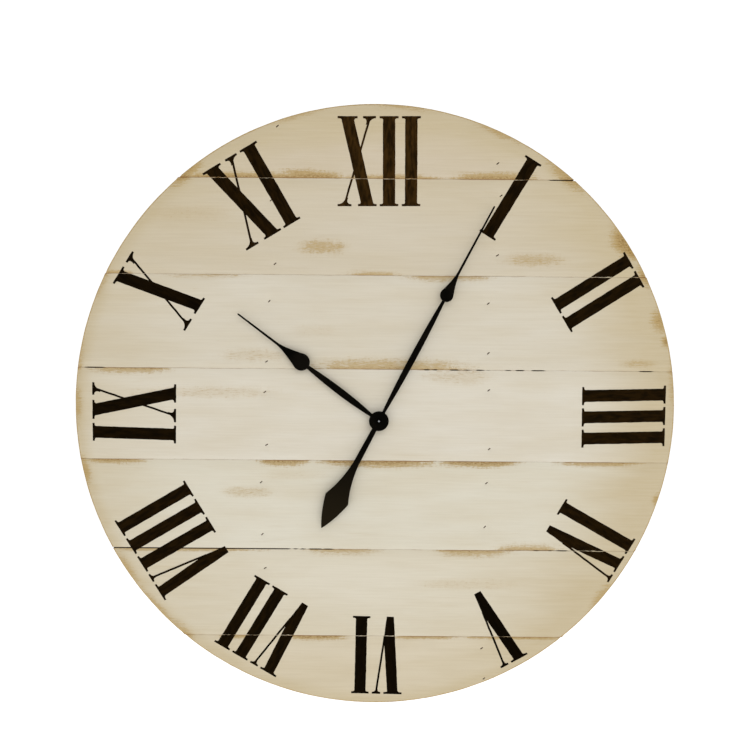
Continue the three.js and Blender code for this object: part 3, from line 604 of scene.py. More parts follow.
def board_look(row):
    """Old cream paint over pine, rubbed through in places, and bare pine behind."""
    look = Look(f"painted_board_{row}", roughness=0.62, specular=0.2)
    seed = row * 1.7
    fibre = look.noise((34, 8, 1.1), seed, detail=5, roughness=0.65, distortion=0.3)
    speck = look.noise((3.2, 3, 1.4), seed + 9, detail=4, roughness=0.7)
    ragged = fibre * 1.5 + speck * 0.9 - 1.2
    radius = (look.x * look.x + look.z * look.z) ** 0.5
    high, low = LEVELS[row - 1 : row + 1]

    paint = board_paint(look, row, seed, radius, ragged)
    worn = board_wear(look, row, seed, radius, ragged, low, high)

    # The paint goes in flecks along the grain: few where it is a little worn, more by a joint.
    fleck = look.noise((9, 6, 0.9), seed + 27, detail=5, roughness=0.75)
    from_joint = abs(look.z - low).least(abs(look.z - high))
    beside = from_joint.fade(0.5, 6.5, 0.7, 0.0)
    chance = worn + fleck * 2.4 - 1.2 + worn * beside
    bared = chance.fade(0.36, 0.66)
    color = look.mix(worn * 0.5, paint, WORN_TAN)
    color = look.mix(bared * 0.6, color, WORN_TAN)
    deep = chance.fade(0.75, 1.15) * speck.fade(0.4, 0.6)
    color = look.mix(deep * 0.7, color, WORN_BROWN)

    # Bare wood at the back, with smears of paint near the rim.
    wood, wood_bump = pine(look, seed, "x", srgb(*BOARD_PINE[row - 1]))
    for x, z, half in KNOTS:
        if row_of(z) == row:
            knot = look.patch(x, z, half * 1.4, half, ragged * 0.3)
            wood = look.mix(knot * 0.8, wood, KNOT_BROWN)
    smears = look.noise((40, 9, 14), seed + 31, detail=4).fade(0.6, 0.72)
    smears *= radius.fade(RADIUS - 40, RADIUS - 8)
    bare = (look.y + ragged * 2.0).fade(FRONT + 9, FRONT + 14)
    bare = (bare - smears * 0.8).clamped()
    color = look.mix(bare, color, wood)

    # The joints are a little dirty at the front, and their deep walls are painted dark brown as painted
    # shade.
    for seam in (low, high):
        if abs(seam) > RADIUS - 1:
            continue
        gap = abs(look.z - seam)
        near = gap.fade(0.3, 1.5, 1.0, 0.0)
        dirt = look.noise((24, 8, 40), seed + seam * 0.01, detail=4).fade(0.42, 0.72, 0.02, 0.4)
        dirt = (worn * 0.95 + dirt).clamped()
        color = look.mix(near * dirt, color, JOINT_DIRT)
        # Painted shade: deeper than the front, a joint's walls are painted dark brown.
        joint_wall_shade = gap.fade(0.7, 1.1, 1.0, 0.0)
        within = look.y.fade(FRONT + 0.5, FRONT + 1.2, 0.0, 0.95)
        color = look.mix(joint_wall_shade * within, color, CRACK_SHADE_BROWN)

    height = fibre * 0.8 + speck * 0.25 - bared * 0.8 + wood_bump * bare
    return look.finish(color, fibre.fade(0.2, 0.8, 0.55, 0.75), look.bump(height, 0.2, 0.55))


def board_paint(look, row, seed, radius, ragged):
    """Paint, tanner in clouds and towards the rim, most of all at the top and on the right: the clouds
    are the paint's own tone, the rim's tan is partly its tone and partly painted shade.
    """
    cloud = look.noise((160, 60, 34), seed + 4)
    # Partly painted shade: darker tan towards the rim and at the top and right, over the paint's own
    # tone.
    rim = radius.fade(RADIUS * 0.6, RADIUS * 1.02)
    side = look.x.fade(60, RADIUS * 0.9).most(look.z.fade(200, RADIUS * 1.15))
    brim_tan_and_shade = (radius + ragged * 9.0).fade(RADIUS - 26, RADIUS)
    tan_and_rim_shade = (cloud * 0.9 - 0.32).clamped() + rim * (side * 0.55 + 0.45)
    tan_and_rim_shade = tan_and_rim_shade.clamped() + brim_tan_and_shade * 0.45
    paint = look.mix(tan_and_rim_shade, srgb(*BOARD_PAINT[row - 1]), TAN_PAINT_AND_SHADE)
    streak = look.noise((70, 8, 2.2), seed + 13, detail=4).fade(0.25, 0.75)
    return look.mix(0.06, paint, look.mix(streak, srgb(180, 165, 135), srgb(255, 250, 238)))


def board_wear(look, row, seed, radius, ragged, low, high):
    """How worn the paint is: all round the edge, faintly in clouds, and in the rubbed places."""
    edge = (radius + ragged * 1.2).fade(RADIUS - 2.6, RADIUS - 0.4)
    faint = look.noise((55, 8, 5), seed + 21, detail=5, distortion=0.4).fade(0.6, 0.8, 0, 0.2)
    worn = (edge * 1.1).most(faint)
    bristle = look.noise((5, 8, 14), seed + 24, detail=5, roughness=0.65)
    uneven = bristle * 0.7 + ragged - 0.35
    for left, right, z, half, strength in WORN:
        if row_of(z) == row:
            place = look.patch((left + right) / 2, z, (right - left) / 2, half, uneven)
            worn = worn.most(place * strength)
    for bearing, wide, deep, strength in RUBBED_RIM:
        if low - wide < RADIUS * math.cos(math.radians(bearing)) < high + wide:
            worn = worn.most(rim_patch(look, bearing, wide, deep, ragged) * strength)
    return worn


def rim_patch(look, bearing, wide, deep, ragged):
    """A rubbed place on the rim: long along the rim and short towards the centre."""
    c = math.cos(math.radians(bearing))
    s = math.sin(math.radians(bearing))
    dx = look.x - RADIUS * s
    dz = look.z - RADIUS * c
    along = dx * (c / wide) - dz * (s / wide)
    inwards = dx * (s / deep) + dz * (c / deep)
    far = (along * along + inwards * inwards) ** 0.5 + ragged
    return far.fade(0.2, 1.1, 1.0, 0.0)


def pine(look, seed, grain, pale):
    """The colour and height of planed pine, its grain along x or z."""
    order = 1 if grain == "x" else -1
    across = look.z if grain == "x" else look.x
    wander = look.noise((420, 20, 26)[::order], seed + 40, detail=1)
    ring = (across * 0.075 + wander * 9.0 + look.y * 0.12 + seed * 0.37).math("FRACT")
    late = ring.fade(0.15, 0.94) * ring.fade(0.94, 1.0, 1.0, 0.0)
    fine = look.noise((70, 1.6, 1.0)[::order], seed + 44, detail=4, roughness=0.7)
    cloud = look.noise((160, 60, 70), seed + 47)
    color = look.mix(late * 0.62, pale, srgb(176, 126, 76))
    color = look.mix(fine.fade(0.35, 0.8, 0, 0.28), color, srgb(156, 114, 70))
    color = look.mix(cloud.fade(0.4, 0.75, 0, 0.28), color, srgb(190, 148, 104))
    return color, late * 0.3 + fine * 0.6


# ---------------- painted boards: the shape

SHUT = 0.03  # half the width of a joint that the paint has filled
OPEN = 0.85  # half the width of an open joint
TIGHT = 0.02  # half the width of every joint inside the boards
REAR_OPEN = 0.4  # half the width of every joint at the back


def joint_half(seam, x):
    """Half the width of a joint at x."""
    opening = 0.0
    for number, left, right, broken in CRACKS:
        if number != seam:
            continue
        here = smooth(x, left - 4, left + 4) * (1 - smooth(x, right - 4, right + 4))
        here *= 1 - broken * smooth(drift(x, 9, seam + left), -0.05, 0.2)
        opening = max(opening, here)
    wander = 0.04 * (1 + drift(x, 40, seam))
    return SHUT + wander + (OPEN - SHUT) * opening


def wear_at(x, z):
    """How rubbed the paint is near a place beside a seam."""
    worn = 0.0
    for left, right, height, half, strength in WORN:
        if row_of(height) == row_of(z) and abs(height - z) < half:
            here = smooth(x, left - 10, left + 20) * (1 - smooth(x, right - 20, right + 10))
            worn = max(worn, strength * here)
    return worn


def board_outline(row, joint):
    """The board's outline and how round its front edge is at each point.

    joint gives half the width of a joint from the seam's number and x.
    """
    points = []
    soft = []
    end_gap = 0.3  # between a joint's end and the rim
    pitch = 4  # between points along a joint
    rim_pitch = math.radians(0.75)

    def seam_edge(seam, side):
        """side is +1 along the top of this board, -1 along its bottom."""
        height = SEAMS[seam - 1]
        reach = math.sqrt(RADIUS**2 - (height - side * OPEN) ** 2) - end_gap
        steps = round(2 * reach / pitch)
        for i in range(steps + 1):
            x = reach * (2 * i / steps - 1) * -side
            points.append((x, height - side * joint(seam, x)))
            worn = wear_at(x, height - side * 3)
            soft.append(0.1 + 0.6 * worn + 0.07 * (1 + drift(x, 14, row + side)))

    def rim(low, high, right):
        steps = max(6, round(abs(high - low) / rim_pitch))
        for i in range(1, steps):
            angle = low + (high - low) * i / steps
            chipped = 0.25 * max(0.0, drift(angle * RADIUS, 12, row + right * 3))
            radius = RADIUS - 0.05 - chipped
            points.append((radius * math.cos(angle), radius * math.sin(angle)))
            soft.append(0.9 + 0.5 * drift(angle * RADIUS, 25, row + 11))

    high, low = (math.asin(level / RADIUS) for level in LEVELS[row - 1 : row + 1])
    if row == 1:
        seam_edge(row, -1)
        rim(low, math.pi - low, 1)
    elif row == BOARD_COUNT:
        seam_edge(row - 1, 1)
        rim(math.pi - high, FULL_TURN + high, -1)
    else:
        seam_edge(row, -1)
        rim(low, high, 1)
        seam_edge(row - 1, 1)
        rim(math.pi - high, math.pi - low, -1)
    return points, soft


def board_front(row):
    """Each board lies a hair deeper than the CAD's front, no two quite alike."""
    return FRONT + 0.05 + 0.16 * (1 + drift(row * 10, 3, 2)) / 2


NAILS = [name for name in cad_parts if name.startswith("nail_")]
HEAD_LONG = 2.35  # half the length of a nail's slot-shaped head
HEAD_WIDE = 0.62
HEAD_LEAN = 38  # degrees
SLOT_MARGIN = 0.14  # the gap between a head and the slot that it sank into


def nail_lean(name):
    """The angle of a nail's head over the horizontal, in degrees."""
    x, z = centre(name)
    return HEAD_LEAN + 16 * drift(x + z, 30, 5)


def stadium(x, z, long, wide, lean):
    """A slot-shaped loop of half length long and half width wide."""
    steps = 6
    reach = long - wide
    ends = arc(reach, 0, wide, -SQUARE_ANGLE, SQUARE_ANGLE, steps)
    ends += arc(-reach, 0, wide, SQUARE_ANGLE, 3 * SQUARE_ANGLE, steps)
    return turn_clockwise(ends, -lean, x, z)


BUSH_HOLE = 5
FRONT_GRID = 22  # between the extra points over a board's front

for row in ROWS:
    outline, soft = board_outline(row, joint_half)
    core, _ = board_outline(row, lambda seam, x: TIGHT)
    rear, _ = board_outline(row, lambda seam, x: REAR_OPEN)
    holes = []
    for name in NAILS:
        x, z = centre(name)
        if row_of(z) == row:
            lean = nail_lean(name)
            holes.append(stadium(x, z, HEAD_LONG + SLOT_MARGIN, HEAD_WIDE + SLOT_MARGIN, lean))
    if row == MIDDLE_ROW:
        holes.append(circle(HUB_X, HUB_Z, BUSH_HOLE, 40))
    solid = slab(outline, board_front(row), BACK, soft, 0.5, holes, FRONT_GRID, core, rear)
    look = board_look(row)
    make_piece(f"painted_board_{row}", *solid, "root", "painted_boards", look, [f"board_{row}"])

# ---------------- numerals

# The ring that the numerals stand in, its middle a little off the disc's centre.
RING_OUTER = 440
RING_INNER = 312.5
RING_X = 5
RING_Z = -1
RING_HEIGHT = RING_OUTER - RING_INNER
PAINT_THICKNESS = 0.16
PAINT_ROOT = 0.12  # how deep the paint's back lies in the board
SERIF = 3.0
BAR = 18.0
HAIR = 3.1
GLYPH_GAP = 5

NUMERALS = ["I", "II", "III", "IV", "V", "VI", "VII", "VIII", "IX", "X", "XI", "XII"]
# The painter's own small errors: across, outwards, times wider, degrees clockwise, and how far the
# numeral's black paint has gone brown.
PAINTED = {
    1: (3.5, 3, 1.0, 1, 0.15),
    2: (-1.5, 3, 1.0, -2.5, 0.15),
    3: (-4.5, -1, 1.0, -1.5, 0.2),
    4: (0.5, 2.5, 1.0, -0.5, 0.18),
    5: (3, 4, 1.0, 0, 0.03),
    6: (-1.5, 1.5, 1.0, 1, 0.05),
    7: (-13.5, -1.5, 1.0, 1, 0.12),
    8: (-10.5, -5, 1.01, -0.5, 0.16),
    9: (4.5, -3.5, 1.0, 1.5, 0.1),
    10: (-3, 3.5, 1.0, 3, 0.08),
    11: (-1.5, 1.5, 1.04, -0.5, 0.18),
    12: (-2, 1, 1.0, -0.5, 0.5),
}


def serif(u, half, v, side, bar_half, bracket, lean=0.0):
    """A flat foot across a stroke's end, with small curved brackets. side is +1 at the top."""
    inner = v - side * SERIF
    root = inner - side * bracket
    shift = -side * lean * (SERIF + bracket)
    right = curve((u + half, inner), (u + bar_half, inner), (u + bar_half + shift, root), 6)
    left = curve((u - half, inner), (u - bar_half, inner), (u - bar_half + shift, root), 6)
    return [(u - half, v), (u + half, v), (u + half, inner), *right, *left[::-1], (u - half, inner)]


def stroke(u_low, u_high, width, low, high):
    """A straight stroke from one height to another, with its middle at each end."""
    half = width / 2
    return [(u_low - half, low), (u_low + half, low), (u_high + half, high), (u_high - half, high)]


def glyph_i():
    shapes = [
        stroke(0, 0, BAR, 0.5, RING_HEIGHT - 0.5),
        serif(0, 13.8, RING_HEIGHT, 1, BAR / 2, 2.2),
        serif(0, 13.8, 0, -1, BAR / 2, 2.2),
    ]
    return shapes, -13.8, 13.8


def glyph_v():
    join = 36
    top = RING_HEIGHT - 1
    thick = [(-5.6, 0), (5.6, 0), (9.2, join), (1.6, top), (-15.2, top), (-8.4, 34)]
    thin = stroke(8.0, 19.8, HAIR, join - 4, top)
    lean = (19.8 - 8.0) / (RING_HEIGHT - join)
    shapes = [
        thick,
        thin,
        serif(-6.9, 14.4, RING_HEIGHT, 1, 8.2, 2, 0.1),
        serif(19.4, 6.9, RING_HEIGHT, 1, HAIR / 2, 5, lean),
    ]
    return shapes, -20.9, 26.3


def glyph_x():
    lean = (19.8 + 19.3) / RING_HEIGHT
    shapes = [
        stroke(15.7, -14.2, 18.2, 0.5, RING_HEIGHT - 0.5),
        stroke(-19.3, 19.8, HAIR, 0.5, RING_HEIGHT - 0.5),
        serif(-13.4, 14.6, RING_HEIGHT, 1, 9.2, 2, -0.23),
        serif(15.0, 13.8, 0, -1, 9.2, 2, -0.23),
        serif(18.5, 9.4, RING_HEIGHT, 1, HAIR / 2 + 0.2, 9, lean),
        serif(-18.7, 10.2, 0, -1, HAIR / 2 + 0.2, 9, lean),
    ]
    return shapes, -28.9, 28.4


GLYPHS = {"I": glyph_i, "V": glyph_v, "X": glyph_x}


def resampled(loop, pitch):
    """The loop with its long sides divided."""
    points = []
    for start, end in zip(loop, loop[1:] + loop[:1]):
        length = math.hypot(end[0] - start[0], end[1] - start[1])
        steps = max(1, round(length / pitch))
        for i in range(steps):
            t = i / steps
            points.append((start[0] + (end[0] - start[0]) * t, start[1] + (end[1] - start[1]) * t))
    return points


def hand_painted(loop, seed):
    """A loop whose edges wander a little, as a brush's do."""
    painted = []
    for u, v in resampled(loop, 2.5):
        du = 0.32 * noise.noise(Vector((u * 0.05, v * 0.14, seed)))
        dv = 0.25 * noise.noise(Vector((u * 0.14, v * 0.05, seed + 50)))
        painted.append((u + du, v + dv))
    return painted


def numeral_shapes(hour):
    """The strokes of one numeral as dial loops."""
    placed = []
    pen = 0.0
    for letter in NUMERALS[hour - 1]:
        shapes, left, right = GLYPHS[letter]()
        placed.append((shapes, pen - left))
        pen += right - left + GLYPH_GAP
    width = pen - GLYPH_GAP
    across, outwards, wider, turn, _ = PAINTED[hour]
    loops = []
    for shapes, at in placed:
        for shape in shapes:
            local = [((u + at - width / 2) * wider + across, v) for u, v in hand_painted(shape, hour)]
            local = turn_clockwise([(u, v - RING_HEIGHT / 2) for u, v in local], turn)
            local = [(u, v + RING_HEIGHT / 2 + RING_INNER + outwards) for u, v in local]
            loops.append(turn_clockwise(local, 30 * hour, RING_X, RING_Z))
    return loops


def scrape_half(x, number, side):
    """How far the paint is scraped back from a joint that a numeral crosses."""
    return max(0.15, 0.4 + 0.7 * drift(x, 6, number + side * 4))


def scraped(x, z):
    """Whether a place on a numeral lies so near a joint that the paint has gone."""
    for number, seam in enumerate(SEAMS, start=1):
        side = 1 if z > seam else -1
        if abs(z - seam) < scrape_half(x, number, side):
            return True
    return False


def painted_layer(loops):
    """A thin closed layer over the union of the loops, left bare along the joints."""
    points, edges = joined(loops)
    xs = [p[0] for p in points]
    zs = [p[1] for p in points]
    for number, seam in enumerate(SEAMS, start=1):
        if min(zs) - 2 < seam < max(zs) + 2:
            for side in (-1, 1):
                steps = np.arange(min(xs) - 4, max(xs) + 4, 2.0)
                line = [(x, seam + side * scrape_half(x, number, side)) for x in steps]
                start = len(points)
                points.extend(line)
                edges.extend((start + i, start + i + 1) for i in range(len(line) - 1))
    flat = [Vector(p) for p in points]
    out, _, faces, _, _, _ = geometry.delaunay_2d_cdt(flat, edges, [], 0, 1e-4)
    places = [tuple(p) for p in out]
    middles = [middle_of(face, places) for face in faces]
    keep = np.zeros(len(faces), bool)
    for loop in loops:
        keep |= inside(middles, loop)
    kept = []
    for face, middle, painted in zip(faces, middles, keep):
        if painted and not scraped(*middle):
            kept.append(tuple(face))
    return layer_solid(places, kept)


def layer_solid(places, triangles):
    """Closes flat triangles into a thin layer that stands on the boards."""
    vertices = []
    faces = []
    index = {}
    tops = []
    for face in triangles:
        row = row_of(middle_of(face, places)[1])
        tops.append(tuple(index.setdefault((v, row), len(index)) for v in face))
    count = len(index)
    for depth in (-PAINT_THICKNESS, PAINT_ROOT):
        for v, row in index:
            x, z = places[v]
            vertices.append((x, board_front(row) + depth, z + CENTRE_Z))
    edges = []
    for top in tops:
        faces.append(top)
        faces.append(tuple(count + v for v in reversed(top)))
        edges.extend(zip(top, top[1:] + top[:1]))
    used = set(edges)
    for a, b in edges:
        if (b, a) not in used:
            faces.append((a, b, count + b, count + a))
    return vertices, faces


def numeral_look(hour):
    """Black paint that has gone brown in soft streaks along the numeral's strokes."""
    look = Look(f"numeral_paint_{hour:02d}", roughness=0.65, specular=0.01)
    inputs = {"Vector": look.place, "Axis": (0, 1, 0), "Angle": -math.radians(30 * hour)}
    look.place = look.node("ShaderNodeVectorRotate", inputs).outputs[0]
    streaks = look.noise((5, 5, 18), hour, detail=4, distortion=0.3)
    brushed = look.noise((1.6, 4, 30), hour + 8, detail=4)
    browned = PAINTED[hour][-1]
    thin = streaks.fade(0.3, 0.7, browned * 0.35, browned * 1.4)
    color = look.mix(thin, srgb(6, 4, 1), srgb(72, 49, 19))
    color = look.mix(brushed.fade(0.45, 0.75, 0, 0.25), color, srgb(26, 18, 6))
    scratch = look.noise((1.6, 3, 0.5), 14, detail=5, roughness=0.8)
    scuffed = look.noise((22, 8, 12), 17, detail=2).fade(0.6, 0.72)
    scuff = scratch.fade(0.68, 0.76) * scuffed
    color = look.mix(scuff * 0.4, color, srgb(170, 150, 115))
    bumps = look.bump(brushed + scratch * 0.4, 0.08, 0.6)
    return look.finish(color, streaks.fade(0.2, 0.8, 0.55, 0.75), bumps)


for hour in range(1, 13):
    solid = painted_layer(numeral_shapes(hour))
    make_piece(f"numeral_{hour:02d}", *solid, "root", "painted_boards", numeral_look(hour))

# ---------------- nails


def steel_look(name, color, tint, roughness, rust=0.0, brushed=(8, 8, 0.6), metallic=1.0):
    """Metal with fine brush lines, cloudy tarnish and, where asked, rust."""
    look = Look(name, roughness=roughness, metallic=metallic)
    lines = look.noise(brushed, 2, detail=4, roughness=0.6)
    cloud = look.noise(7, 5)
    base = look.mix(cloud.fade(0.35, 0.7), color, tint)
    normal = look.bump(lines, 0.02, 0.5)
    rough = lines * 0.25 + cloud * 0.15 + (roughness - 0.2)
    if not rust:
        return look.finish(base, rough, normal)
    rusted = look.noise(1.2, 9, detail=5, roughness=0.7).fade(0.42, 0.6) * rust
    base = look.mix(rusted, base, srgb(74, 44, 22))
    rough = (rough + rusted * 0.3).clamped()
    return look.finish(base, rough, normal, (rusted * -1 + metallic).clamped())


NAIL_LOOK = steel_look("rusted_nail", srgb(84, 72, 58), srgb(60, 48, 34), 0.6, rust=0.9)
HEAD_SINK = 0.35  # below the paint
HEAD_DEPTH = 1.5
SHANK_LONG = 0.8  # half lengths of the shank's section
SHANK_WIDE = 0.6

for name in NAILS:
    x, z = centre(name)
    tip = span(name)[1].y
    lean = nail_lean(name)
    top = board_front(row_of(z)) + HEAD_SINK
    under = top + HEAD_DEPTH
    head = slab(stadium(x, z, HEAD_LONG, HEAD_WIDE, lean), top, under, 0.18, 0.1)
    shank = slab(stadium(x, z, SHANK_LONG, SHANK_WIDE, lean), under, tip - 0.3, 0.05, 0.4)
    brad = name.replace("nail", "brad")
    make_piece(brad, *merge(head, shank), "root", "nail_steel", NAIL_LOOK, [name])

# ---------------- hands

CURVE_STEPS = 20
NEEDLE = 1.8
SPADE_SHOULDER = math.radians(25)  # where a spade's side turns towards its needle


def hand_arm(path, boss, swell, neck, spade_at, spade_radius, needle_at, tip_at):
    """Extends one half of a hand's outline from its boss to its tip. z runs along the hand.

    swell, neck and NEEDLE are half widths. The rest are heights over the hub, and a radius.
    """
    under = spade_at - math.sqrt(spade_radius**2 - neck**2)
    swell_at = (boss + under) / 2
    path += curve(path[-1], (swell, (boss + swell_at) / 2), (swell, swell_at), CURVE_STEPS)
    path += curve(path[-1], (swell, (swell_at + under) / 2), (neck, under), CURVE_STEPS)
    start = math.asin((under - spade_at) / spade_radius)
    path += arc(0, spade_at, spade_radius, start, SPADE_SHOULDER, CURVE_STEPS)[1:]
    path += curve(path[-1], (NEEDLE + 0.6, needle_at - 13), (NEEDLE, needle_at), CURVE_STEPS)
    path += [(1.25, tip_at - 2), (0.5, tip_at - 0.4)]


def mirrored(path):
    return path + [(-x, z) for x, z in reversed(path)]


ARM_ROOT = 2.3
HOUR_BOSS = 12
MINUTE_BOSS = 15
TAIL_STEM = 3.8
TAIL_TIP = 187
TAIL_WIDEST = 136
TAIL_HALF_WIDTH = 19.5


def hour_outline():
    leaving = math.acos(ARM_ROOT / HOUR_BOSS)
    path = arc(0, 0, HOUR_BOSS, -SQUARE_ANGLE + 0.03, leaving, 30)
    hand_arm(
        path,
        boss=HOUR_BOSS * math.sin(leaving),
        swell=5.4,
        neck=2.9,
        spade_at=147,
        spade_radius=13,
        needle_at=192,
        tip_at=266,
    )
    return mirrored(path)


def minute_outline():
    enters = -math.acos(TAIL_STEM / MINUTE_BOSS)
    leaving = math.acos(ARM_ROOT / MINUTE_BOSS)
    path = [(0.4, -TAIL_TIP)]
    path += curve(path[-1], (12, -TAIL_TIP + 20), (TAIL_HALF_WIDTH, -TAIL_WIDEST), CURVE_STEPS)
    path += curve(path[-1], (7, -TAIL_WIDEST + 28), (4.7, -TAIL_WIDEST + 62), CURVE_STEPS)
    path.append((TAIL_STEM, MINUTE_BOSS * math.sin(enters)))
    path += arc(0, 0, MINUTE_BOSS, enters + 0.1, leaving, 30)
    hand_arm(
        path,
        boss=MINUTE_BOSS * math.sin(leaving),
        swell=4.8,
        neck=2.3,
        spade_at=213,
        spade_radius=10,
        needle_at=250,
        tip_at=359,
    )
    return mirrored(path)


MINUTE_ANGLE = 27.8
HOUR_ANGLE = -53.2
HAND_THICKNESS = 1


def ring(radius):
    return circle(HUB_X, HUB_Z, radius, 48)


def hand_solid(outline, angle, node, bore, collar):
    """A stamped plate with a collar behind its boss, between the CAD hand's front and back."""
    low, high = span(node)
    loop = turn_clockwise(outline, angle, HUB_X, HUB_Z)
    plate_back = low.y + HAND_THICKNESS
    plate = slab(loop, low.y, plate_back, 0.22, 0.12, [ring(bore)])
    tube = slab(ring(collar), plate_back - 0.05, high.y, 0.2, 0.2, [ring(bore)])
    return merge(plate, tube)


def black_paint_look():
    """Black enamel, lighter and browner towards the end of the minute hand's tail."""
    look = Look("black_paint", roughness=0.5, specular=0.012)
    peel = look.noise(1.4, 1)
    cloud = look.noise(30, 4)
    dust = look.noise(0.6, 7, detail=4, roughness=0.8)
    color = look.mix(cloud.fade(0.35, 0.7), srgb(6, 5, 3), srgb(16, 13, 9))
    color = look.mix(look.z.fade(-160, -40, 0.8, 0.0), color, srgb(34, 28, 17))
    color = look.mix(dust.fade(0.62, 0.8, 0, 0.15), color, srgb(70, 64, 54))
    return look.finish(color, cloud.fade(0.3, 0.7, 0.42, 0.58), look.bump(peel, 0.03, 0.5))


BLACK_PAINT = black_paint_look()
hour_solid = hand_solid(hour_outline(), HOUR_ANGLE, "hour_hand", bore=2.8, collar=4.6)
minute_solid = hand_solid(minute_outline(), MINUTE_ANGLE, "minute_hand", bore=1.8, collar=3.6)
make_piece("spade_hour_hand", *hour_solid, "hour", "black_metal", BLACK_PAINT, ["hour_hand"])
make_piece("spade_minute_hand", *minute_solid, "minute", "black_metal", BLACK_PAINT, ["minute_hand"])

nut_low, nut_high = span("hand_nut")
NUT_BORE = 1.8
NUT_RADIUS = 3.4
nut_profile = [
    (NUT_BORE, nut_high.y),
    (NUT_RADIUS, nut_high.y),
    (NUT_RADIUS, nut_low.y + 0.9),
    (3.25, nut_low.y + 0.5),
    (2.9, nut_low.y + 0.15),
    (2.5, nut_low.y),
    (2.0, nut_low.y),
    (NUT_BORE, nut_low.y + 0.2),
    (NUT_BORE, nut_high.y),
]
nut_solid = turned(nut_profile, HUB_X, HUB_Z)
make_piece("round_hand_nut", *nut_solid, "minute", "black_metal", BLACK_PAINT, ["hand_nut"])

# ---------------- battens


def batten_look():
    look = Look("planed_pine", roughness=0.65, specular=0.3)
    color, height = pine(look, 6.0, "z", srgb(214, 180, 130))
    knots = look.patch(-158, 120, 9, 14).most(look.patch(190, -210, 8, 12))
    color = look.mix(knots * 0.85, color, srgb(96, 56, 28))
    return look.finish(color, None, look.bump(height, 0.25, 0.7))


BATTEN_LOOK = batten_look()
BATTEN_SETBACK = 2  # the battens' ends stay this far inside the disc
batten_reach = RADIUS - BATTEN_SETBACK
for side in ("left", "right"):
    low, high = span(f"batten_{side}")
    left_end = math.acos(low.x / batten_reach)
    right_end = math.acos(high.x / batten_reach)
    outline = arc(0, 0, batten_reach, right_end, left_end, 12)
    outline += arc(0, 0, batten_reach, -left_end, -right_end, 12)
    solid = slab(resampled(outline, 20), low.y, high.y, 1.2, 1.2)
    make_piece(f"pine_batten_{side}", *solid, "root", "bare_pine", BATTEN_LOOK, [f"batten_{side}"])

# ---------------- the movement


def moulded_look(name, color, tint, roughness, spark=0.35):
    """Moulded plastic: a fine spark-eroded texture and faint flow marks."""
    look = Look(name, roughness=roughness, specular=0.4)
    grit = look.noise(spark, 2, detail=2)
    flow = look.noise((16, 16, 5), 5, distortion=0.6)
    base = look.mix(flow.fade(0.35, 0.7), color, tint)
    rough = flow.fade(0.3, 0.7, roughness - 0.06, roughness + 0.08)
    return look.finish(base, rough, look.bump(grit, 0.03, 0.6))


WIRE_PITCH = 0.28


def winding_look():
    """Enamelled wire wound around a bobbin that stands along z, with painted shade in the grooves
    between the turns.
    """
    look = Look("copper_winding", roughness=0.35, metallic=0.85)
    ridge = abs((look.z * (1 / WIRE_PITCH)).math("FRACT") - 0.5)
    # Painted shade: the grooves between the wire's turns are painted dark brown.
    color = look.mix(ridge.fade(0.2, 0.5), srgb(186, 104, 52), srgb(92, 44, 20))
    return look.finish(color, None, look.bump(ridge, 0.12, 0.8))


def laminate_look():
    """Green laminate with a woven surface and faint tracks."""
    look = Look("green_laminate", roughness=0.35)
    weave = (look.x * 9).math("SINE") * (look.z * 9).math("SINE")
    tracks = look.noise((1.6, 9, 1.6), 3, detail=0).fade(0.48, 0.5)
    color = look.mix(tracks, srgb(24, 84, 46), srgb(42, 118, 66))
    return look.finish(color, None, look.bump(weave, 0.02, 0.6))


def rubber_look():
    look = Look("gasket_rubber", roughness=0.85, specular=0.2)
    grain = look.noise(0.5, 2)
    bloom = look.noise(5, 6)
    color = look.mix(bloom.fade(0.4, 0.7, 0, 0.6), srgb(26, 26, 26), srgb(52, 50, 48))
    return look.finish(color, None, look.bump(grain, 0.05, 0.6))


SLEEVE_BAND = HUB_X + 12  # where the pale band starts
SLEEVE_BAND_END = SLEEVE_BAND + 8


def sleeve_look():
    """A plain printed sleeve: dark grey, with a pale band near the positive end."""
    look = Look("battery_sleeve", roughness=0.35)
    cloud = look.noise(9, 2)
    body = look.mix(cloud.fade(0.35, 0.7), srgb(66, 74, 84), srgb(78, 88, 98))
    band = look.x.fade(SLEEVE_BAND, SLEEVE_BAND + 0.3)
    band *= look.x.fade(SLEEVE_BAND_END, SLEEVE_BAND_END + 0.3, 1, 0)
    color = look.mix(band, body, srgb(206, 204, 196))
    seam = look.noise((30, 0.8, 0.8), 9, detail=2)
    return look.finish(color, None, look.bump(seam, 0.03, 0.4))


STEEL = steel_look("bright_steel", srgb(196, 198, 200), srgb(170, 172, 175), 0.35)
BRASS = steel_look("turned_brass", srgb(216, 180, 104), srgb(188, 148, 78), 0.32)
PLATED = steel_look(
    "brass_plate", srgb(206, 170, 98), srgb(168, 132, 72), 0.38, rust=0.12, brushed=(20, 8, 0.7)
)
FERRITE = steel_look("sintered_ferrite", srgb(70, 70, 74), srgb(50, 50, 54), 0.55, metallic=0.4)
CASE_PLASTIC = moulded_look("case_plastic", srgb(30, 30, 32), srgb(38, 38, 40), 0.5)
KNOB_PLASTIC = moulded_look("knob_plastic", srgb(46, 46, 48), srgb(54, 54, 56), 0.42, spark=0.8)
ACETAL = moulded_look("white_acetal", srgb(232, 229, 218), srgb(222, 217, 202), 0.42, spark=0.8)
RUBBER = rubber_look()
COPPER = winding_look()
LAMINATE = laminate_look()
SLEEVE = sleeve_look()

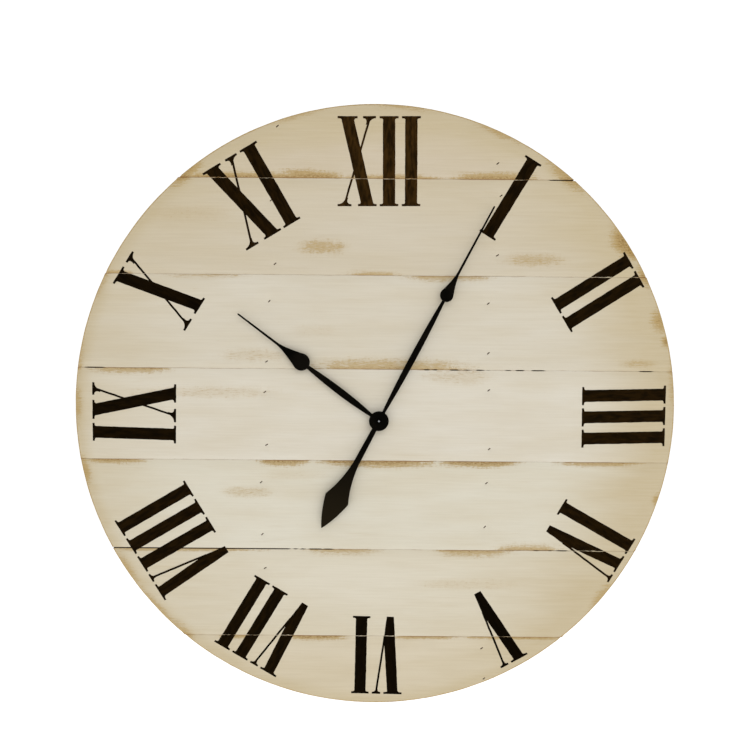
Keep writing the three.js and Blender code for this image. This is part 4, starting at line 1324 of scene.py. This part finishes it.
# The pieces that keep the CAD's shape: their look, how far their edges are eased, their names.
CARRIED_OVER = [
    (PLATED, 0.25, ["sawtooth_hanger"]),
    (STEEL, 0.15, ["hanger_screw_left", "hanger_screw_right"]),
    (CASE_PLASTIC, 0.35, ["movement_case", "movement_cover"]),
    (ACETAL, 0.1, ["train_bridge"]),
    (RUBBER, 0.2, ["rubber_gasket"]),
    (BRASS, 0.15, ["dial_washer"]),
    (BRASS, 0.3, ["dial_nut"]),
    (STEEL, 0.05, ["minute_arbor"]),
    (ACETAL, 0.05, ["hour_wheel", "centre_wheel", "minute_wheel"]),
    (ACETAL, 0.05, ["third_wheel", "fourth_wheel", "intermediate_wheel"]),
    (KNOB_PLASTIC, 0.2, ["setting_knob"]),
    (FERRITE, 0.05, ["rotor"]),
    (STEEL, 0.08, ["stator", "contact_positive", "contact_negative"]),
    (COPPER, 0.08, ["coil"]),
    (LAMINATE, 0.05, ["circuit_board"]),
]


def ease_edges(node, width):
    """Joins a carried-over node's split corners and rounds its edges."""
    weld = node.modifiers.new("weld", "WELD")
    weld.merge_threshold = 0.01 * MM
    bevel = node.modifiers.new("eased_edges", "BEVEL")
    bevel.width = width * MM
    bevel.segments = 2
    bevel.limit_method = "ANGLE"
    bevel.angle_limit = math.radians(38)
    bevel.use_clamp_overlap = True
    bevel.harden_normals = True


for material, width, names in CARRIED_OVER:
    for name in names:
        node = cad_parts[name]
        for holder in node.material_slots:
            holder.material = material
        ease_edges(node, width)

# An AA cell, turned about a line along x.
battery_low, battery_high = span("battery")
battery_y = (battery_low.y + battery_high.y) / 2
battery_z = centre("battery")[1]
battery_radius = (battery_high.z - battery_low.z) / 2
left_end = battery_low.x
right_end = battery_high.x
NUB = 1.4
cell_profile = [
    (0, left_end + 0.3),
    (4.4, left_end + 0.3),
    (4.7, left_end),
    (6.2, left_end),
    (6.75, left_end + 0.2),
    (battery_radius - 0.05, left_end + 0.7),
    (battery_radius, left_end + 1.4),
    (battery_radius, right_end - NUB - 1.4),
    (battery_radius - 0.1, right_end - NUB - 0.6),
    (6.5, right_end - NUB - 0.15),
    (5.9, right_end - NUB),
    (3.4, right_end - NUB),
    (2.75, right_end - NUB + 0.15),
    (2.6, right_end - NUB + 0.4),
    (2.6, right_end - 0.3),
    (2.3, right_end),
    (0, right_end),
]
cell_solid = turned(cell_profile, battery_y, battery_z, 64, along="x")
make_piece("aa_cell", *cell_solid, "battery", "battery_sleeve", SLEEVE, ["battery"])

# ---------------- floor, light and camera


WHITE = (1, 1, 1, 1)
FLOOR_DROP = 0.45  # metres below the disc, so that the clock hangs clear of it
FLOOR_REACH = 6.0  # metres
FLOOR_GLOW = 0.53


def floor_look():
    """White card that glows a little, so that it shows no horizon."""
    look = Look("floor", roughness=0.9, specular=0.1)
    look.shader.inputs["Emission Color"].default_value = WHITE
    look.shader.inputs["Emission Strength"].default_value = FLOOR_GLOW
    return look.finish(srgb(246, 246, 246))


floor_mesh = bpy.data.meshes.new("floor")
floor_z = DISC_LOW * MM - FLOOR_DROP
signs = ((-1, -1), (1, -1), (1, 1), (-1, 1))
corners = [(x * FLOOR_REACH, y * FLOOR_REACH, floor_z) for x, y in signs]
floor_mesh.from_pydata(corners, [], [(0, 1, 2, 3)])
floor_mesh.materials.append(floor_look())
floor = bpy.data.objects.new("floor", floor_mesh)
bpy.context.scene.collection.objects.link(floor)

AMBIENT = 0.6
BACKDROP = 1.05  # how bright the empty background looks
world = bpy.data.worlds.new("studio")
bpy.context.scene.world = world
world.use_nodes = True
sky = world.node_tree.nodes["Background"]
sky.inputs["Color"].default_value = WHITE
ray = world.node_tree.nodes.new("ShaderNodeLightPath")
brightness = world.node_tree.nodes.new("ShaderNodeMapRange")
brightness.inputs["To Min"].default_value = AMBIENT
brightness.inputs["To Max"].default_value = BACKDROP
world.node_tree.links.new(ray.outputs["Is Camera Ray"], brightness.inputs["Value"])
world.node_tree.links.new(brightness.outputs["Result"], sky.inputs["Strength"])


def area_light(name, place, power, size):
    """A square light that faces the dial's centre."""
    data = bpy.data.lights.new(name, "AREA")
    data.energy = power
    data.size = size
    light = bpy.data.objects.new(name, data)
    target = Vector((0, FRONT * MM, CENTRE_Z * MM))
    light.location = target + Vector(place)
    light.rotation_euler = (target - light.location).to_track_quat("-Z", "Y").to_euler()
    bpy.context.scene.collection.objects.link(light)


area_light("key", (0.8, -2.6, 1.5), 17, 2.4)
area_light("back_fill", (-1.2, 2.4, 1.0), 16, 1.5)

# A 36 mm lens in front of the dial, a little above its centre and pitched down.
CAMERA_OFFSET = Vector((1, 79, 1153)) * MM  # right, up and out from the dial's front
PITCH = 6.76
YAW = 0.12
ROLL = -0.46
camera_data = bpy.data.cameras.new("camera")
camera_data.lens = 36
camera_data.sensor_width = 36
camera_data.shift_x = 0.0008
camera_data.shift_y = 0.102
camera = bpy.data.objects.new("camera", camera_data)
dial_to_world = Matrix(((1, 0, 0), (0, 0, -1), (0, 1, 0)))
aim = Matrix.Rotation(math.radians(ROLL), 3, "Z") @ Matrix.Rotation(math.radians(PITCH), 3, "X")
aim = aim @ Matrix.Rotation(math.radians(YAW), 3, "Y")
place = Vector((0, FRONT * MM, CENTRE_Z * MM)) + dial_to_world @ CAMERA_OFFSET
camera.matrix_world = Matrix.Translation(place) @ (dial_to_world @ aim.transposed()).to_4x4()
bpy.context.scene.collection.objects.link(camera)
bpy.context.scene.camera = camera
bpy.context.scene.view_settings.view_transform = "Standard"
